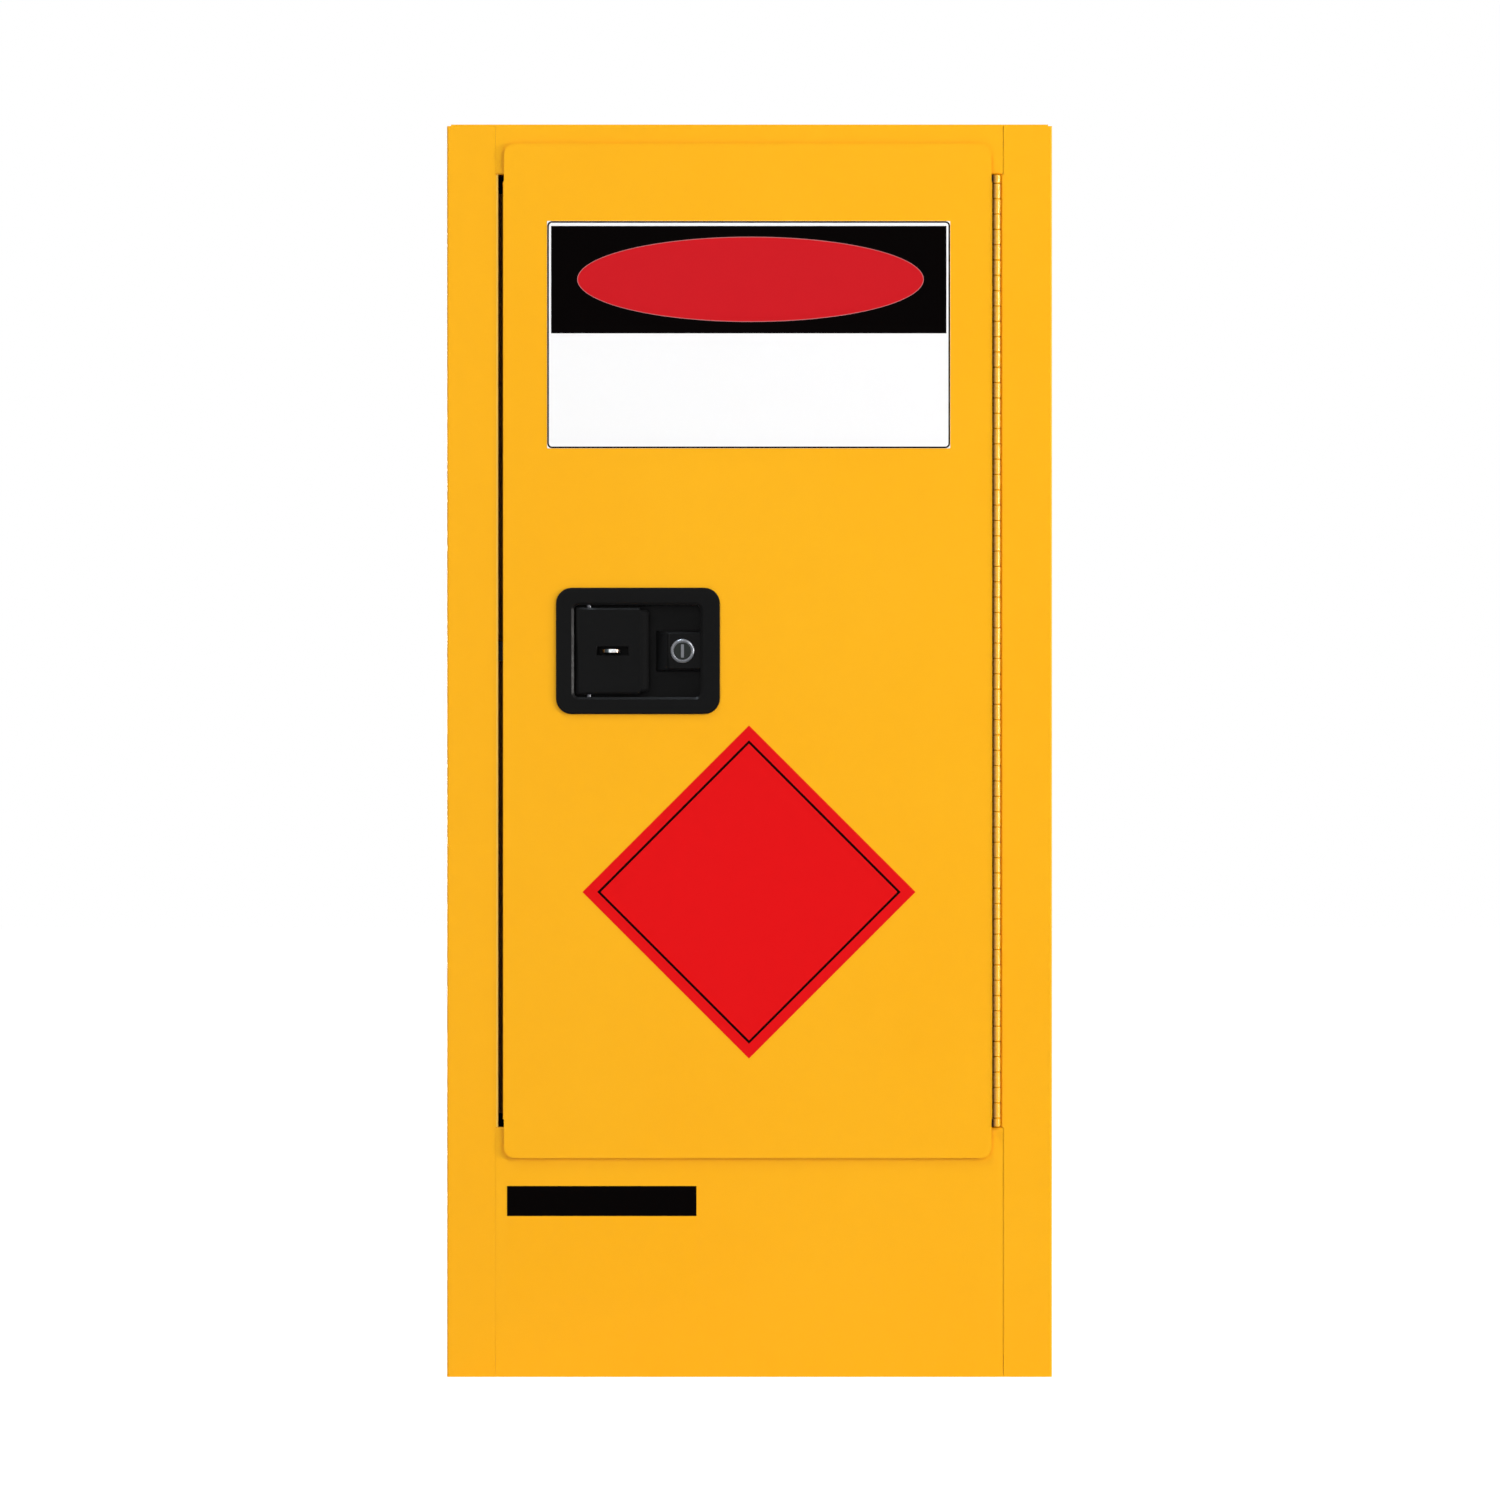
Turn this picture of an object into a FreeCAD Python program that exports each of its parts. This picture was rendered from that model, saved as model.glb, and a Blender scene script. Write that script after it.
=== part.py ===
# Flammable safety cabinet: a double-walled steel cupboard on a leak-proof sump, closed by one door on a
# full-height piano hinge. A paddle latch draws one side bolt and two rods at once, a cylinder lock blocks the
# bolt, and a telescopic closer shuts the door. Millimetres and degrees.
# Frame: origin at the centre of the base, +X to the right seen from the front, +Y to the back, +Z up.
import FreeCAD, Part
import math
import os
import re
import Sketcher

doc = FreeCAD.newDocument("SafetyCabinet")

# Driving dimensions. Each becomes one cell of the sheet, and every size below is a formula of these cells.
DRIVING = {
    # carcass
    "width": 500,
    "height": 1035,
    "body_depth": 555,
    "sheet": 1.2,
    "wall": 40,
    "bend": 1.6,
    "post": 42.3,
    "post_blank": 40.1,
    "seam": 0.4,
    "faint_seam": 0.1,
    "head": 41.3,
    "sill": 206.5,
    "jamb": 18,
    "cross_return": 44,
    "lip": 15,
    "top_inset": 3.3,
    "rail_web": 20,
    "rail_foot": 35,
    # sump and shelves
    "sump_depth": 153,
    "grate_lip": 20,
    "ledge_leg": 20,
    "bracket": 1.5,
    "drain_inset": 50,
    "drain_half": 17,
    "shelf_level": 600,
    "shelf_lip": 25,
    "upright_width": 24,
    "upright_depth": 8,
    "upright_pitch": 75,
    # vents and earth stud
    "vent_radius": 25.4,
    "vent_offset": 40,
    "vent_low": 262,
    "vent_high": 925,
    "stud_radius": 4,
    "stud_hexagon": 7.5,
    # door
    "door_left": 202.9,
    "door_right": 200,
    "door_bottom": 180.9,
    "door_top": 1019.3,
    "door_corner": 9,
    "pan_left": 203.7,
    "pan_right": 200.7,
    "pan_bottom": 213.1,
    "pan_top": 987.9,
    "door_proud": 2.6,
    "door_depth": 37.2,
    # hinge
    "hinge_side": 204.2,
    "hinge_proud": 1.2,
    "knuckle_radius": 3.15,
    "knuckle_pitch": 12.66,
    "knuckle_gap": 0.2,
    "leaf": 1,
    "leaf_offset": 3.5,
    "leaf_width": 18,
    "hinge_pin": 1.25,
    # latch housing, in the door
    "latch_level": 600,
    "bezel_left": 159.9,
    "bezel_right": 24.4,
    "bezel_tall": 104.5,
    "bezel_corner": 13,
    "bezel_proud": 2,
    "gasket": 0.4,
    "mouth_left": 147.1,
    "mouth_right": 38.5,
    "mouth_tall": 80.3,
    "mouth_bevel": 2,
    "recess": 20,
    "moulding": 1.8,
    "plate": 1.6,
    "plate_half": 44.5,
    "plate_brim": 12,
    "screw_radius": 2,
    "screw_head": 3.5,
    "eye_left": 121.5,
    "eye_right": 107,
    "eye_round": 5.5,
    "eye_reach": 8,
    "shackle_radius": 3,
    # paddle
    "pivot_side": 132.8,
    "pivot_inset": 2.4,
    "paddle_left": 143.2,
    "paddle_flat": 90.9,
    "paddle_right": 83.1,
    "paddle_tall": 71.8,
    "paddle_thick": 3,
    "paddle_barrel": 4.5,
    "paddle_pin": 2,
    "spring_coil": 2.85,
    "spring_wire": 0.8,
    "arm_reach": 19.34,
    "arm_swing": 17.5,
    # bolt, crank and rods
    "bolt_tall": 16,
    "bolt_tip": 217,
    "bolt_tail": 84,
    "crank_side": 112,
    "crank_drop": 16.5,
    "crank_reach": 17,
    "crank_swing": 20,
    "crank_stud": 3,
    "crank_pin": 2.3,
    "rod_width": 12,
    "rod_thick": 3,
    "rod_play": 0.5,
    # lock
    "lock_side": 55.4,
    "lock_flange": 9.9,
    "lock_barrel": 8,
    "lock_plug": 6,
    "plug_head": 7.2,
    "lock_hexagon": 12.7,
    "tail_hexagon": 4.2,
    "running": 0.06,
    # closer: both pivots lie on one circle about the hinge, so the strut turns half as far as the door
    "closer_level": 960,
    "closer_circle": 345,
    "closer_frame_offset": 85,
    "closer_door_offset": 54.4,
    "closer_tube": 9.5,
    "closer_rod": 4,
    "closer_pin": 4,
    "closer_eye": 6,
    "tube_end": 355,
    "rod_end": 344,
}

sheet = doc.addObject("Spreadsheet::Sheet", "Sizes")
for row, (alias, number) in enumerate(DRIVING.items(), start=1):
    sheet.set(f"A{row}", alias)
    sheet.set(f"B{row}", str(number))
    sheet.setAlias(f"B{row}", alias)
doc.recompute()

nodes = []


def cells(formula):
    """The formula with each driving dimension's name pointed at its cell."""
    return re.sub(r"[a-z_]{3,}", lambda word: "Sizes." + word[0] if word[0] in DRIVING else word[0], formula)


def value(formula):
    """The formula's number."""
    return float(sheet.evalExpression(cells(str(formula))))


def bind(thing, **formulas):
    """Gives properties of a thing their formulas. Two underscores stand for a dot in a property's name."""
    for name, formula in formulas.items():
        thing.setExpression(name.replace("__", "."), cells(str(formula)))


def span(sign, first, second):
    """Two places on one side of the middle, as lower and higher limit."""
    return tuple(sorted((f"{sign} * ({first})", f"{sign} * ({second})"), key=value))


def keep(thing, label):
    """Names a finished sub-part."""
    thing.Label = label
    nodes.append(thing)
    return thing


# Outlines: each returns a function that draws one closed line in a sketch.
def arc(centre_x, centre_y, turn=1):
    """Stands between two corners that a round stretch joins. turn is 1 anticlockwise and -1 clockwise."""
    return {"centre": (centre_x, centre_y), "turn": turn}


def outline(*steps):
    """A closed line through the corners, in order, with an arc wherever one stands between two of them."""
    corners = [step for step in steps if isinstance(step, tuple)]
    rounds = {}
    for place, step in enumerate(steps):
        if isinstance(step, dict):
            rounds[sum(isinstance(before, tuple) for before in steps[:place]) - 1] = step

    def draw(sketch):
        first = sketch.GeometryCount
        spots = [FreeCAD.Vector(value(x), value(y), 0) for x, y in corners]
        starts = []
        for i, spot in enumerate(spots):
            after = spots[(i + 1) % len(spots)]
            if i not in rounds:
                sketch.addGeometry(Part.LineSegment(spot, after), False)
                starts.append((1, 2))
                continue
            centre = FreeCAD.Vector(*[value(formula) for formula in rounds[i]["centre"]], 0)
            circle = Part.Circle(centre, FreeCAD.Vector(0, 0, 1), centre.distanceToPoint(spot))
            ends = (spot, after) if rounds[i]["turn"] > 0 else (after, spot)
            angles = [math.atan2(end.y - centre.y, end.x - centre.x) for end in ends]
            if angles[1] < angles[0]:
                angles[1] += 2 * math.pi
            sketch.addGeometry(Part.ArcOfCircle(circle, angles[0], angles[1]), False)
            starts.append((1, 2) if rounds[i]["turn"] > 0 else (2, 1))
        for i, (x, y) in enumerate(corners):
            after = (i + 1) % len(corners)
            sketch.addConstraint(
                Sketcher.Constraint("Coincident", first + i, starts[i][1], first + after, starts[after][0])
            )
            for kind, formula in (("DistanceX", x), ("DistanceY", y)):
                fixed = sketch.addConstraint(
                    Sketcher.Constraint(kind, -1, 1, first + i, starts[i][0], value(formula))
                )
                sketch.setExpression(f"Constraints[{fixed}]", cells(str(formula)))
            if i in rounds:
                chord = spots[after] - spots[i]
                side = 1 if abs(chord.x) > abs(chord.y) else 0
                kind, formula = ("DistanceX", "DistanceY")[side], rounds[i]["centre"][side]
                fixed = sketch.addConstraint(
                    Sketcher.Constraint(kind, -1, 1, first + i, 3, value(formula))
                )
                sketch.setExpression(f"Constraints[{fixed}]", cells(str(formula)))

    return draw


def rect(x, y, corner=None):
    """A rectangle between two pairs of limits, with round corners if corner is given."""
    (left, right), (low, high) = x, y
    if corner is None:
        return outline((left, low), (right, low), (right, high), (left, high))
    in_left, in_right = f"{left} + {corner}", f"{right} - ({corner})"
    in_low, in_high = f"{low} + {corner}", f"{high} - ({corner})"
    return outline(
        (in_left, low), (in_right, low), arc(in_right, in_low),
        (right, in_low), (right, in_high), arc(in_right, in_high),
        (in_right, high), (in_left, high), arc(in_left, in_high),
        (left, in_high), (left, in_low), arc(in_left, in_low),
    )


def disc(x, y, radius):
    """A circle."""
    def draw(sketch):
        centre = FreeCAD.Vector(value(x), value(y), 0)
        number = sketch.addGeometry(Part.Circle(centre, FreeCAD.Vector(0, 0, 1), value(radius)), False)
        for kind, formula in (("DistanceX", x), ("DistanceY", y)):
            fixed = Sketcher.Constraint(kind, -1, 1, number, 3, value(formula))
            sketch.setExpression(f"Constraints[{sketch.addConstraint(fixed)}]", cells(str(formula)))
        size = sketch.addConstraint(Sketcher.Constraint("Radius", number, value(radius)))
        sketch.setExpression(f"Constraints[{size}]", cells(str(radius)))

    return draw


def polygon(x, y, inner, sides):
    """A regular outline round (x, y) whose flats stand inner away from it."""
    step = 360 / sides
    reach = f"({inner}) / cos({step / 2})"
    turns = [step * (i + 0.5) for i in range(sides)]
    return outline(*[(f"{x} + {reach} * cos({turn})", f"{y} + {reach} * sin({turn})") for turn in turns])


# Body features. A plane is named by the two axes that it spans, and a feature runs along the third.
def sketch_on(body, plane, level, *drawings):
    """A sketch in a body, on a plane at a level, with the drawings in it."""
    sketch = body.newObject("Sketcher::SketchObject", body.Name + "_sketch")
    support = next(f for f in body.Origin.OriginFeatures if f.Role == plane + "_Plane")
    sketch.AttachmentSupport = (support, [""])
    sketch.MapMode = "FlatFace"
    away = f"-({level})" if plane == "XZ" else str(level)
    sketch.setExpression("AttachmentOffset.Base.z", cells(away))
    for drawing in drawings:
        drawing(sketch)
    return sketch


def grow(body, plane, limits, *drawings):
    """Pads the drawings between two levels."""
    low, high = limits
    pad = body.newObject("PartDesign::Pad", body.Name + "_pad")
    pad.Profile = sketch_on(body, plane, high if plane == "XZ" else low, *drawings)
    bind(pad, Length=f"({high}) - ({low})")
    return settle(body, pad, 1)


def sink(body, plane, limits, *drawings):
    """Cuts the drawings away between two levels."""
    low, high = limits
    pocket = body.newObject("PartDesign::Pocket", body.Name + "_pocket")
    pocket.Profile = sketch_on(body, plane, low if plane == "XZ" else high, *drawings)
    bind(pocket, Length=f"({high}) - ({low})")
    return settle(body, pocket, -1)


def settle(body, feature, change):
    """Makes the feature the body's tip and tests that it added or took material as it should."""
    before = body.Tip.Shape.Volume if body.Tip and body.Tip is not feature else 0
    if feature.BaseFeature:
        before = feature.BaseFeature.Shape.Volume
    body.Tip = feature
    doc.recompute()
    if change * (feature.Shape.Volume - before) <= 0:
        raise ValueError(f"{feature.Name} changed {before} to {feature.Shape.Volume}")
    return feature


def taper(body, plane, start, start_drawing, end, end_drawing):
    """A loft between two drawings at two levels."""
    loft = body.newObject("PartDesign::AdditiveLoft", body.Name + "_loft")
    loft.Profile = sketch_on(body, plane, start, start_drawing)
    loft.Sections = [sketch_on(body, plane, end, end_drawing)]
    loft.Ruled = True
    return settle(body, loft, 1)


def repeat(body, feature, axis, spacing, count):
    """Repeats a feature along an axis."""
    pattern = body.newObject("PartDesign::LinearPattern", body.Name + "_pattern")
    pattern.Originals = [feature]
    line = next(f for f in body.Origin.OriginFeatures if f.Role == axis + "_Axis")
    pattern.Direction = (line, [""])
    pattern.Occurrences = count
    bind(pattern, Length=f"({spacing}) * {count - 1}")
    sign = 1 if feature.TypeId == "PartDesign::Pad" else -1
    return settle(body, pattern, sign)


def edges_on(shape, places):
    """Names of the straight edges that hold every coordinate of one of the places."""
    names = []
    for number, edge in enumerate(shape.Edges, start=1):
        for place in places:
            ends = [vertex.Point for vertex in edge.Vertexes]
            if all(abs(getattr(end, axis) - value(at)) < 1e-3 for end in ends for axis, at in place.items()):
                names.append(f"Edge{number}")
                break
    return names


def soften(body, kind, size, *places):
    """Rounds (Fillet) or bevels (Chamfer) the edges at the places."""
    base = body.Tip
    names = edges_on(base.Shape, places)
    if not names:
        raise ValueError(f"no edge of {body.Name} at {places}")
    feature = body.newObject("PartDesign::" + kind, body.Name + "_" + kind.lower())
    feature.Base = (base, names)
    bind(feature, **{"Radius" if kind == "Fillet" else "Size": size})
    body.Tip = feature
    doc.recompute()
    return feature


def new_body(label):
    """An empty body for a sub-part of that name."""
    return keep(doc.addObject("PartDesign::Body", label), label)


# Primitives between limits, and their unions and cuts.
def box(x, y, z):
    """A block between its limits."""
    block = doc.addObject("Part::Box", "box")
    length, width, height = [f"({high}) - ({low})" for low, high in (x, y, z)]
    bind(block, Length=length, Width=width, Height=height)
    bind(block, Placement__Base__x=x[0], Placement__Base__y=y[0], Placement__Base__z=z[0])
    return block


TURNS = {
    "X": FreeCAD.Rotation(FreeCAD.Vector(0, 1, 0), 90),
    "Y": FreeCAD.Rotation(FreeCAD.Vector(1, 0, 0), -90),
    "Z": FreeCAD.Rotation(),
}


def bar(axis, radius, limits, across, sides=0):
    """A bar along an axis between two limits, at a place on the other two axes: round unless it has sides."""
    rod = doc.addObject("Part::Prism" if sides else "Part::Cylinder", "bar")
    rod.Placement.Rotation = TURNS[axis]
    if sides:
        rod.Polygon = sides
        bind(rod, Circumradius=radius)
    else:
        bind(rod, Radius=radius)
    bind(rod, Height=f"({limits[1]}) - ({limits[0]})")
    places = list(across)
    places.insert("XYZ".index(axis), limits[0])
    bind(rod, Placement__Base__x=places[0], Placement__Base__y=places[1], Placement__Base__z=places[2])
    return rod


def union(*shapes):
    """Shapes made one."""
    whole = doc.addObject("Part::MultiFuse", "union")
    whole.Shapes = list(shapes)
    return whole


def without(base, *tools):
    """A shape with others cut out of it."""
    rest = doc.addObject("Part::Cut", "cut")
    rest.Base = base
    rest.Tool = tools[0] if len(tools) == 1 else union(*tools)
    return rest


def group(*shapes):
    """Identical pieces that share one sub-part, as separate solids."""
    several = doc.addObject("Part::Compound", "group")
    several.Links = list(shapes)
    return several


# Planes of the cabinet, as formulas.
FRONT = "(-body_depth / 2)"
BACK = "(body_depth / 2)"
SIDE = "(width / 2)"
OPEN_SIDE = "(width / 2 - post)"
OPEN_TOP = "(height - head)"
LINER = "(width / 2 - post + sheet)"
LINER_BACK = "(body_depth / 2 - wall)"
SUMP_TOP = "(sill - sheet)"
SUMP_FLOOR = "(sill - sheet - sump_depth)"
DUCT = "(vent_radius + 1.6)"
VENT_HEIGHTS = {"left": "vent_low", "right": "vent_high"}
SIGNS = {"left": "-1", "right": "1"}

# Base panel: the flat underside that the cabinet stands on.
base_panel = new_body("base_panel")
grow(base_panel, "XY", ("0", "sheet"), rect((f"-{SIDE}", SIDE), (FRONT, BACK), "bend"))

# Base rails: two hat-section channels that carry the sump over the air gap.
for side, sign in SIGNS.items():
    rail = new_body(f"{side}_base_rail")
    centre = f"{sign} * width * 0.3"
    crown, under_crown = f"{SUMP_FLOOR} - sheet", f"{SUMP_FLOOR} - 2 * sheet"
    left_web, right_web = f"{centre} - rail_web", f"{centre} + rail_web"
    left_foot, right_foot = f"{centre} - rail_foot", f"{centre} + rail_foot"
    grow(
        rail, "XZ", (f"{FRONT} + cross_return + 10", f"{LINER_BACK} - 10"),
        outline(
            (left_foot, "sheet"), (f"{left_web} + sheet", "sheet"),
            (f"{left_web} + sheet", under_crown), (f"{right_web} - sheet", under_crown),
            (f"{right_web} - sheet", "sheet"), (right_foot, "sheet"),
            (right_foot, "2 * sheet"), (right_web, "2 * sheet"), (right_web, crown),
            (left_web, crown), (left_web, "2 * sheet"), (left_foot, "2 * sheet"),
        ),
    )

# Side panels: one sheet each, folded round the front into a 40 mm post, in at the door opening as a jamb, and
# in at the back, top and bottom as weld flanges. A hole takes the vent duct.
for side, sign in SIGNS.items():
    panel = new_body(f"{side}_side_panel")
    grow(
        panel, "XY", ("sheet", "height - sheet"),
        outline(
            (f"{sign} * {SIDE}", FRONT),
            (f"{sign} * (width / 2 - post_blank)", FRONT),
            (f"{sign} * (width / 2 - post_blank)", f"{FRONT} + sheet"),
            (f"{sign} * (width / 2 - sheet)", f"{FRONT} + sheet"),
            (f"{sign} * (width / 2 - sheet)", f"{BACK} - 2 * sheet"),
            (f"{sign} * (width / 2 - lip)", f"{BACK} - 2 * sheet"),
            (f"{sign} * (width / 2 - lip)", f"{BACK} - sheet"),
            (f"{sign} * (width / 2 - sheet)", f"{BACK} - sheet"),
            (f"{sign} * (width / 2 - sheet)", BACK),
            (f"{sign} * {SIDE}", BACK),
        ),
    )
    grow(
        panel, "XY", ("sill", OPEN_TOP),
        outline(
            (f"{sign} * (width / 2 - post_blank)", FRONT),
            (f"{sign} * {OPEN_SIDE}", FRONT),
            (f"{sign} * {OPEN_SIDE}", f"{FRONT} + jamb"),
            (f"{sign} * ({OPEN_SIDE} + sheet)", f"{FRONT} + jamb"),
            (f"{sign} * ({OPEN_SIDE} + sheet)", f"{FRONT} + sheet"),
            (f"{sign} * (width / 2 - post_blank)", f"{FRONT} + sheet"),
        ),
    )
    weld_x = span(sign, "width / 2 - lip", "width / 2 - sheet")
    weld = rect(weld_x, (f"{FRONT} + 2 * lip", f"{BACK} - 2 * lip"))
    grow(panel, "XY", ("height - 2 * sheet", "height - sheet"), weld)
    grow(panel, "XY", ("sheet", "2 * sheet"), weld)
    vent_hole = disc("vent_offset", VENT_HEIGHTS[side], DUCT)
    sink(panel, "YZ", span(sign, SIDE, "width / 2 - sheet"), vent_hole)
    soften(
        panel, "Fillet", "bend",
        {"x": f"{sign} * {SIDE}", "y": FRONT},
        {"x": f"{sign} * {OPEN_SIDE}", "y": FRONT},
    )

# Top panel: laid on the side panels' flanges, a little in from their rounded edges.
top_panel = new_body("top_panel")
inset = f"({SIDE} - top_inset)"
grow(top_panel, "XY", ("height - sheet", "height"), rect((f"-{inset}", inset), (FRONT, BACK)))

# Back panel: set between the side panels, against their rear flanges.
back_panel = new_body("back_panel")
within = f"({SIDE} - sheet)"
grow(
    back_panel, "XZ", (f"{BACK} - sheet", BACK),
    rect((f"-{within}", within), ("sheet", "height - sheet")),
)
STUD_PLACE = (f"-({SIDE} - 55)", "90")
sink(back_panel, "XZ", (f"{BACK} - sheet", BACK), disc(*STUD_PLACE, "stud_radius + 0.25"))

# Head panel: closes the front above the door. Its lower edge folds back over the opening and up behind it.
BETWEEN_POSTS = ("-(width / 2 - post_blank - faint_seam)", "(width / 2 - post_blank - seam)")
head_panel = new_body("head_panel")
grow(
    head_panel, "YZ", BETWEEN_POSTS,
    outline(
        (FRONT, OPEN_TOP), (f"{FRONT} + cross_return", OPEN_TOP),
        (f"{FRONT} + cross_return", f"{OPEN_TOP} + lip"),
        (f"{FRONT} + cross_return - sheet", f"{OPEN_TOP} + lip"),
        (f"{FRONT} + cross_return - sheet", f"{OPEN_TOP} + sheet"),
        (f"{FRONT} + sheet", f"{OPEN_TOP} + sheet"), (f"{FRONT} + sheet", "height - 2 * sheet"),
        (f"{FRONT} + lip", "height - 2 * sheet"), (f"{FRONT} + lip", "height - sheet"),
        (FRONT, "height - sheet"),
    ),
)

# Lower front panel: hides the sump. Its upper edge folds back under the door and down in front of the sump.
lower_front_panel = new_body("lower_front_panel")
grow(
    lower_front_panel, "YZ", BETWEEN_POSTS,
    outline(
        (FRONT, "sheet"), (f"{FRONT} + lip", "sheet"), (f"{FRONT} + lip", "2 * sheet"),
        (f"{FRONT} + sheet", "2 * sheet"), (f"{FRONT} + sheet", SUMP_TOP),
        (f"{FRONT} + cross_return - sheet", SUMP_TOP),
        (f"{FRONT} + cross_return - sheet", "sill - lip"), (f"{FRONT} + cross_return", "sill - lip"),
        (f"{FRONT} + cross_return", "sill"), (FRONT, "sill"),
    ),
)

# Both cross panels keep clear of the jambs, take a rod's slot, and have a bent edge at the opening.
ROD_PLACES = {"upper": "(-crank_side + crank_reach * cos(crank_swing / 2))",
              "lower": "(-crank_side - crank_reach * cos(crank_swing / 2))"}
ROD_LEVEL = (f"{FRONT} + 28.2", f"{FRONT} + 28.2 + rod_thick")
for panel, rod, levels, folds in (
    (head_panel, "upper", (OPEN_TOP, f"{OPEN_TOP} + sheet"), (OPEN_TOP, f"{OPEN_TOP} + lip")),
    (lower_front_panel, "lower", (SUMP_TOP, "sill"), ("sill - lip", "sill")),
):
    for sign in SIGNS.values():
        corner = (f"{FRONT} + sheet + 0.2", f"{FRONT} + cross_return + 1")
        sink(panel, "XY", folds, rect(span(sign, f"{LINER} - 0.2", SIDE), corner))
    slot_x = (f"{ROD_PLACES[rod]} - rod_width / 2 - 1", f"{ROD_PLACES[rod]} + rod_width / 2 + 1")
    sink(panel, "XY", levels, rect(slot_x, (f"{ROD_LEVEL[0]} - 1", f"{ROD_LEVEL[1]} + 1")))
soften(head_panel, "Fillet", "bend", {"y": FRONT, "z": OPEN_TOP})
soften(lower_front_panel, "Fillet", "bend", {"y": FRONT, "z": "sill"})
doc.recompute()

# Liners: the inner skin, 40 mm in from the outer one. The side liners lap behind the jambs. The left one has
# the bolt's slot, and both have a vent's hole.
BOLT_LEVEL = (f"{FRONT} + 19.2", f"{FRONT} + 24.2")
BOLT_SLOT = rect(
    (f"{FRONT} + jamb + 0.1", f"{BOLT_LEVEL[1]} + 2.8"),
    ("latch_level - bolt_tall / 2 - 1.5", "latch_level + bolt_tall / 2 + 1.5"),
)
for side, sign in SIGNS.items():
    liner = new_body(f"{side}_liner")
    skin = span(sign, LINER, f"{LINER} + sheet")
    run = (f"{FRONT} + 6", f"{LINER_BACK} + sheet")
    grow(liner, "YZ", skin, rect(run, (f"{SUMP_FLOOR} - sheet", OPEN_TOP)))
    sink(liner, "YZ", skin, disc("vent_offset", VENT_HEIGHTS[side], DUCT))
    if side == "left":
        sink(liner, "YZ", skin, BOLT_SLOT)

back_liner = new_body("back_liner")
grow(
    back_liner, "XZ", (LINER_BACK, f"{LINER_BACK} + sheet"),
    rect((f"-{LINER}", LINER), (f"{SUMP_FLOOR} - sheet", OPEN_TOP)),
)

ceiling_liner = new_body("ceiling_liner")
grow(
    ceiling_liner, "XY", (OPEN_TOP, f"{OPEN_TOP} + sheet"),
    rect((f"-({LINER} + sheet)", f"{LINER} + sheet"), (f"{FRONT} + cross_return", f"{LINER_BACK} + sheet")),
)

# Sump: a welded leak-proof tray behind the lower front panel.
SUMP_SIDE = f"({LINER} - seam / 2)"
sump_tray = new_body("sump_tray")
tray_x = (f"-{SUMP_SIDE}", SUMP_SIDE)
tray_y = (f"{FRONT} + cross_return", LINER_BACK)
inner_x, inner_y = [(f"{low} + sheet", f"{high} - sheet") for low, high in (tray_x, tray_y)]
grow(sump_tray, "XY", (f"{SUMP_FLOOR} - sheet", SUMP_TOP), rect(tray_x, tray_y))
sink(sump_tray, "XY", (SUMP_FLOOR, SUMP_TOP), rect(inner_x, inner_y))

# Sump ledges: an angle along each side of the tray, for the grating.
GRATE_TOP = "(sill - 1.5)"
ledges = []
for sign in SIGNS.values():
    run = (f"{FRONT} + 60", f"{LINER_BACK} - 15")
    seat, wall_face = f"{GRATE_TOP} - grate_lip", f"{SUMP_SIDE} - sheet"
    wall_leg = box(span(sign, f"{wall_face} - bracket", wall_face), run, (f"{seat} - ledge_leg", seat))
    flat_leg = box(span(sign, f"{wall_face} - ledge_leg", wall_face), run, (f"{seat} - bracket", seat))
    ledges.append(union(wall_leg, flat_leg))
keep(group(*ledges), "sump_ledges")


def slotted_shelf(label, half_width, depth_limits, top, lip):
    """A tray turned upside down, folded from one sheet, with rows of drain slots."""
    shelf = new_body(label)
    grow(shelf, "XY", (f"{top} - {lip}", top), rect((f"-{half_width}", half_width), depth_limits))
    hollow = (f"-{half_width} + sheet", f"{half_width} - sheet")
    inside = (f"{depth_limits[0]} + sheet", f"{depth_limits[1]} - sheet")
    sink(shelf, "XY", (f"{top} - {lip}", f"{top} - sheet"), rect(hollow, inside))
    columns, rows = 7, 4
    pitch = f"({half_width} * 2 - 30) / {columns}"
    slot_y = (f"{depth_limits[0]} + drain_inset - 4", f"{depth_limits[0]} + drain_inset + 4")
    slots = []
    for number in range(columns):
        centre = f"-{half_width} + 15 + {pitch} * {number + 0.5}"
        slots.append(rect((f"{centre} - drain_half", f"{centre} + drain_half"), slot_y))
    row = sink(shelf, "XY", (f"{top} - sheet", top), *slots)
    spread = f"({depth_limits[1]}) - ({depth_limits[0]}) - 2 * drain_inset"
    repeat(shelf, row, "Y", f"({spread}) / {rows - 1}", rows)
    return shelf


slotted_shelf("sump_grate", f"({LINER} - upright_depth - 1.5)",
              (f"{FRONT} + cross_return + 3", f"{LINER_BACK} - 3"), GRATE_TOP, "grate_lip")
slotted_shelf("adjustable_shelf", f"({LINER} - upright_depth - 2.4)",
              (f"{FRONT} + 52", f"{LINER_BACK} - 6"), "shelf_level", "shelf_lip")

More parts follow.
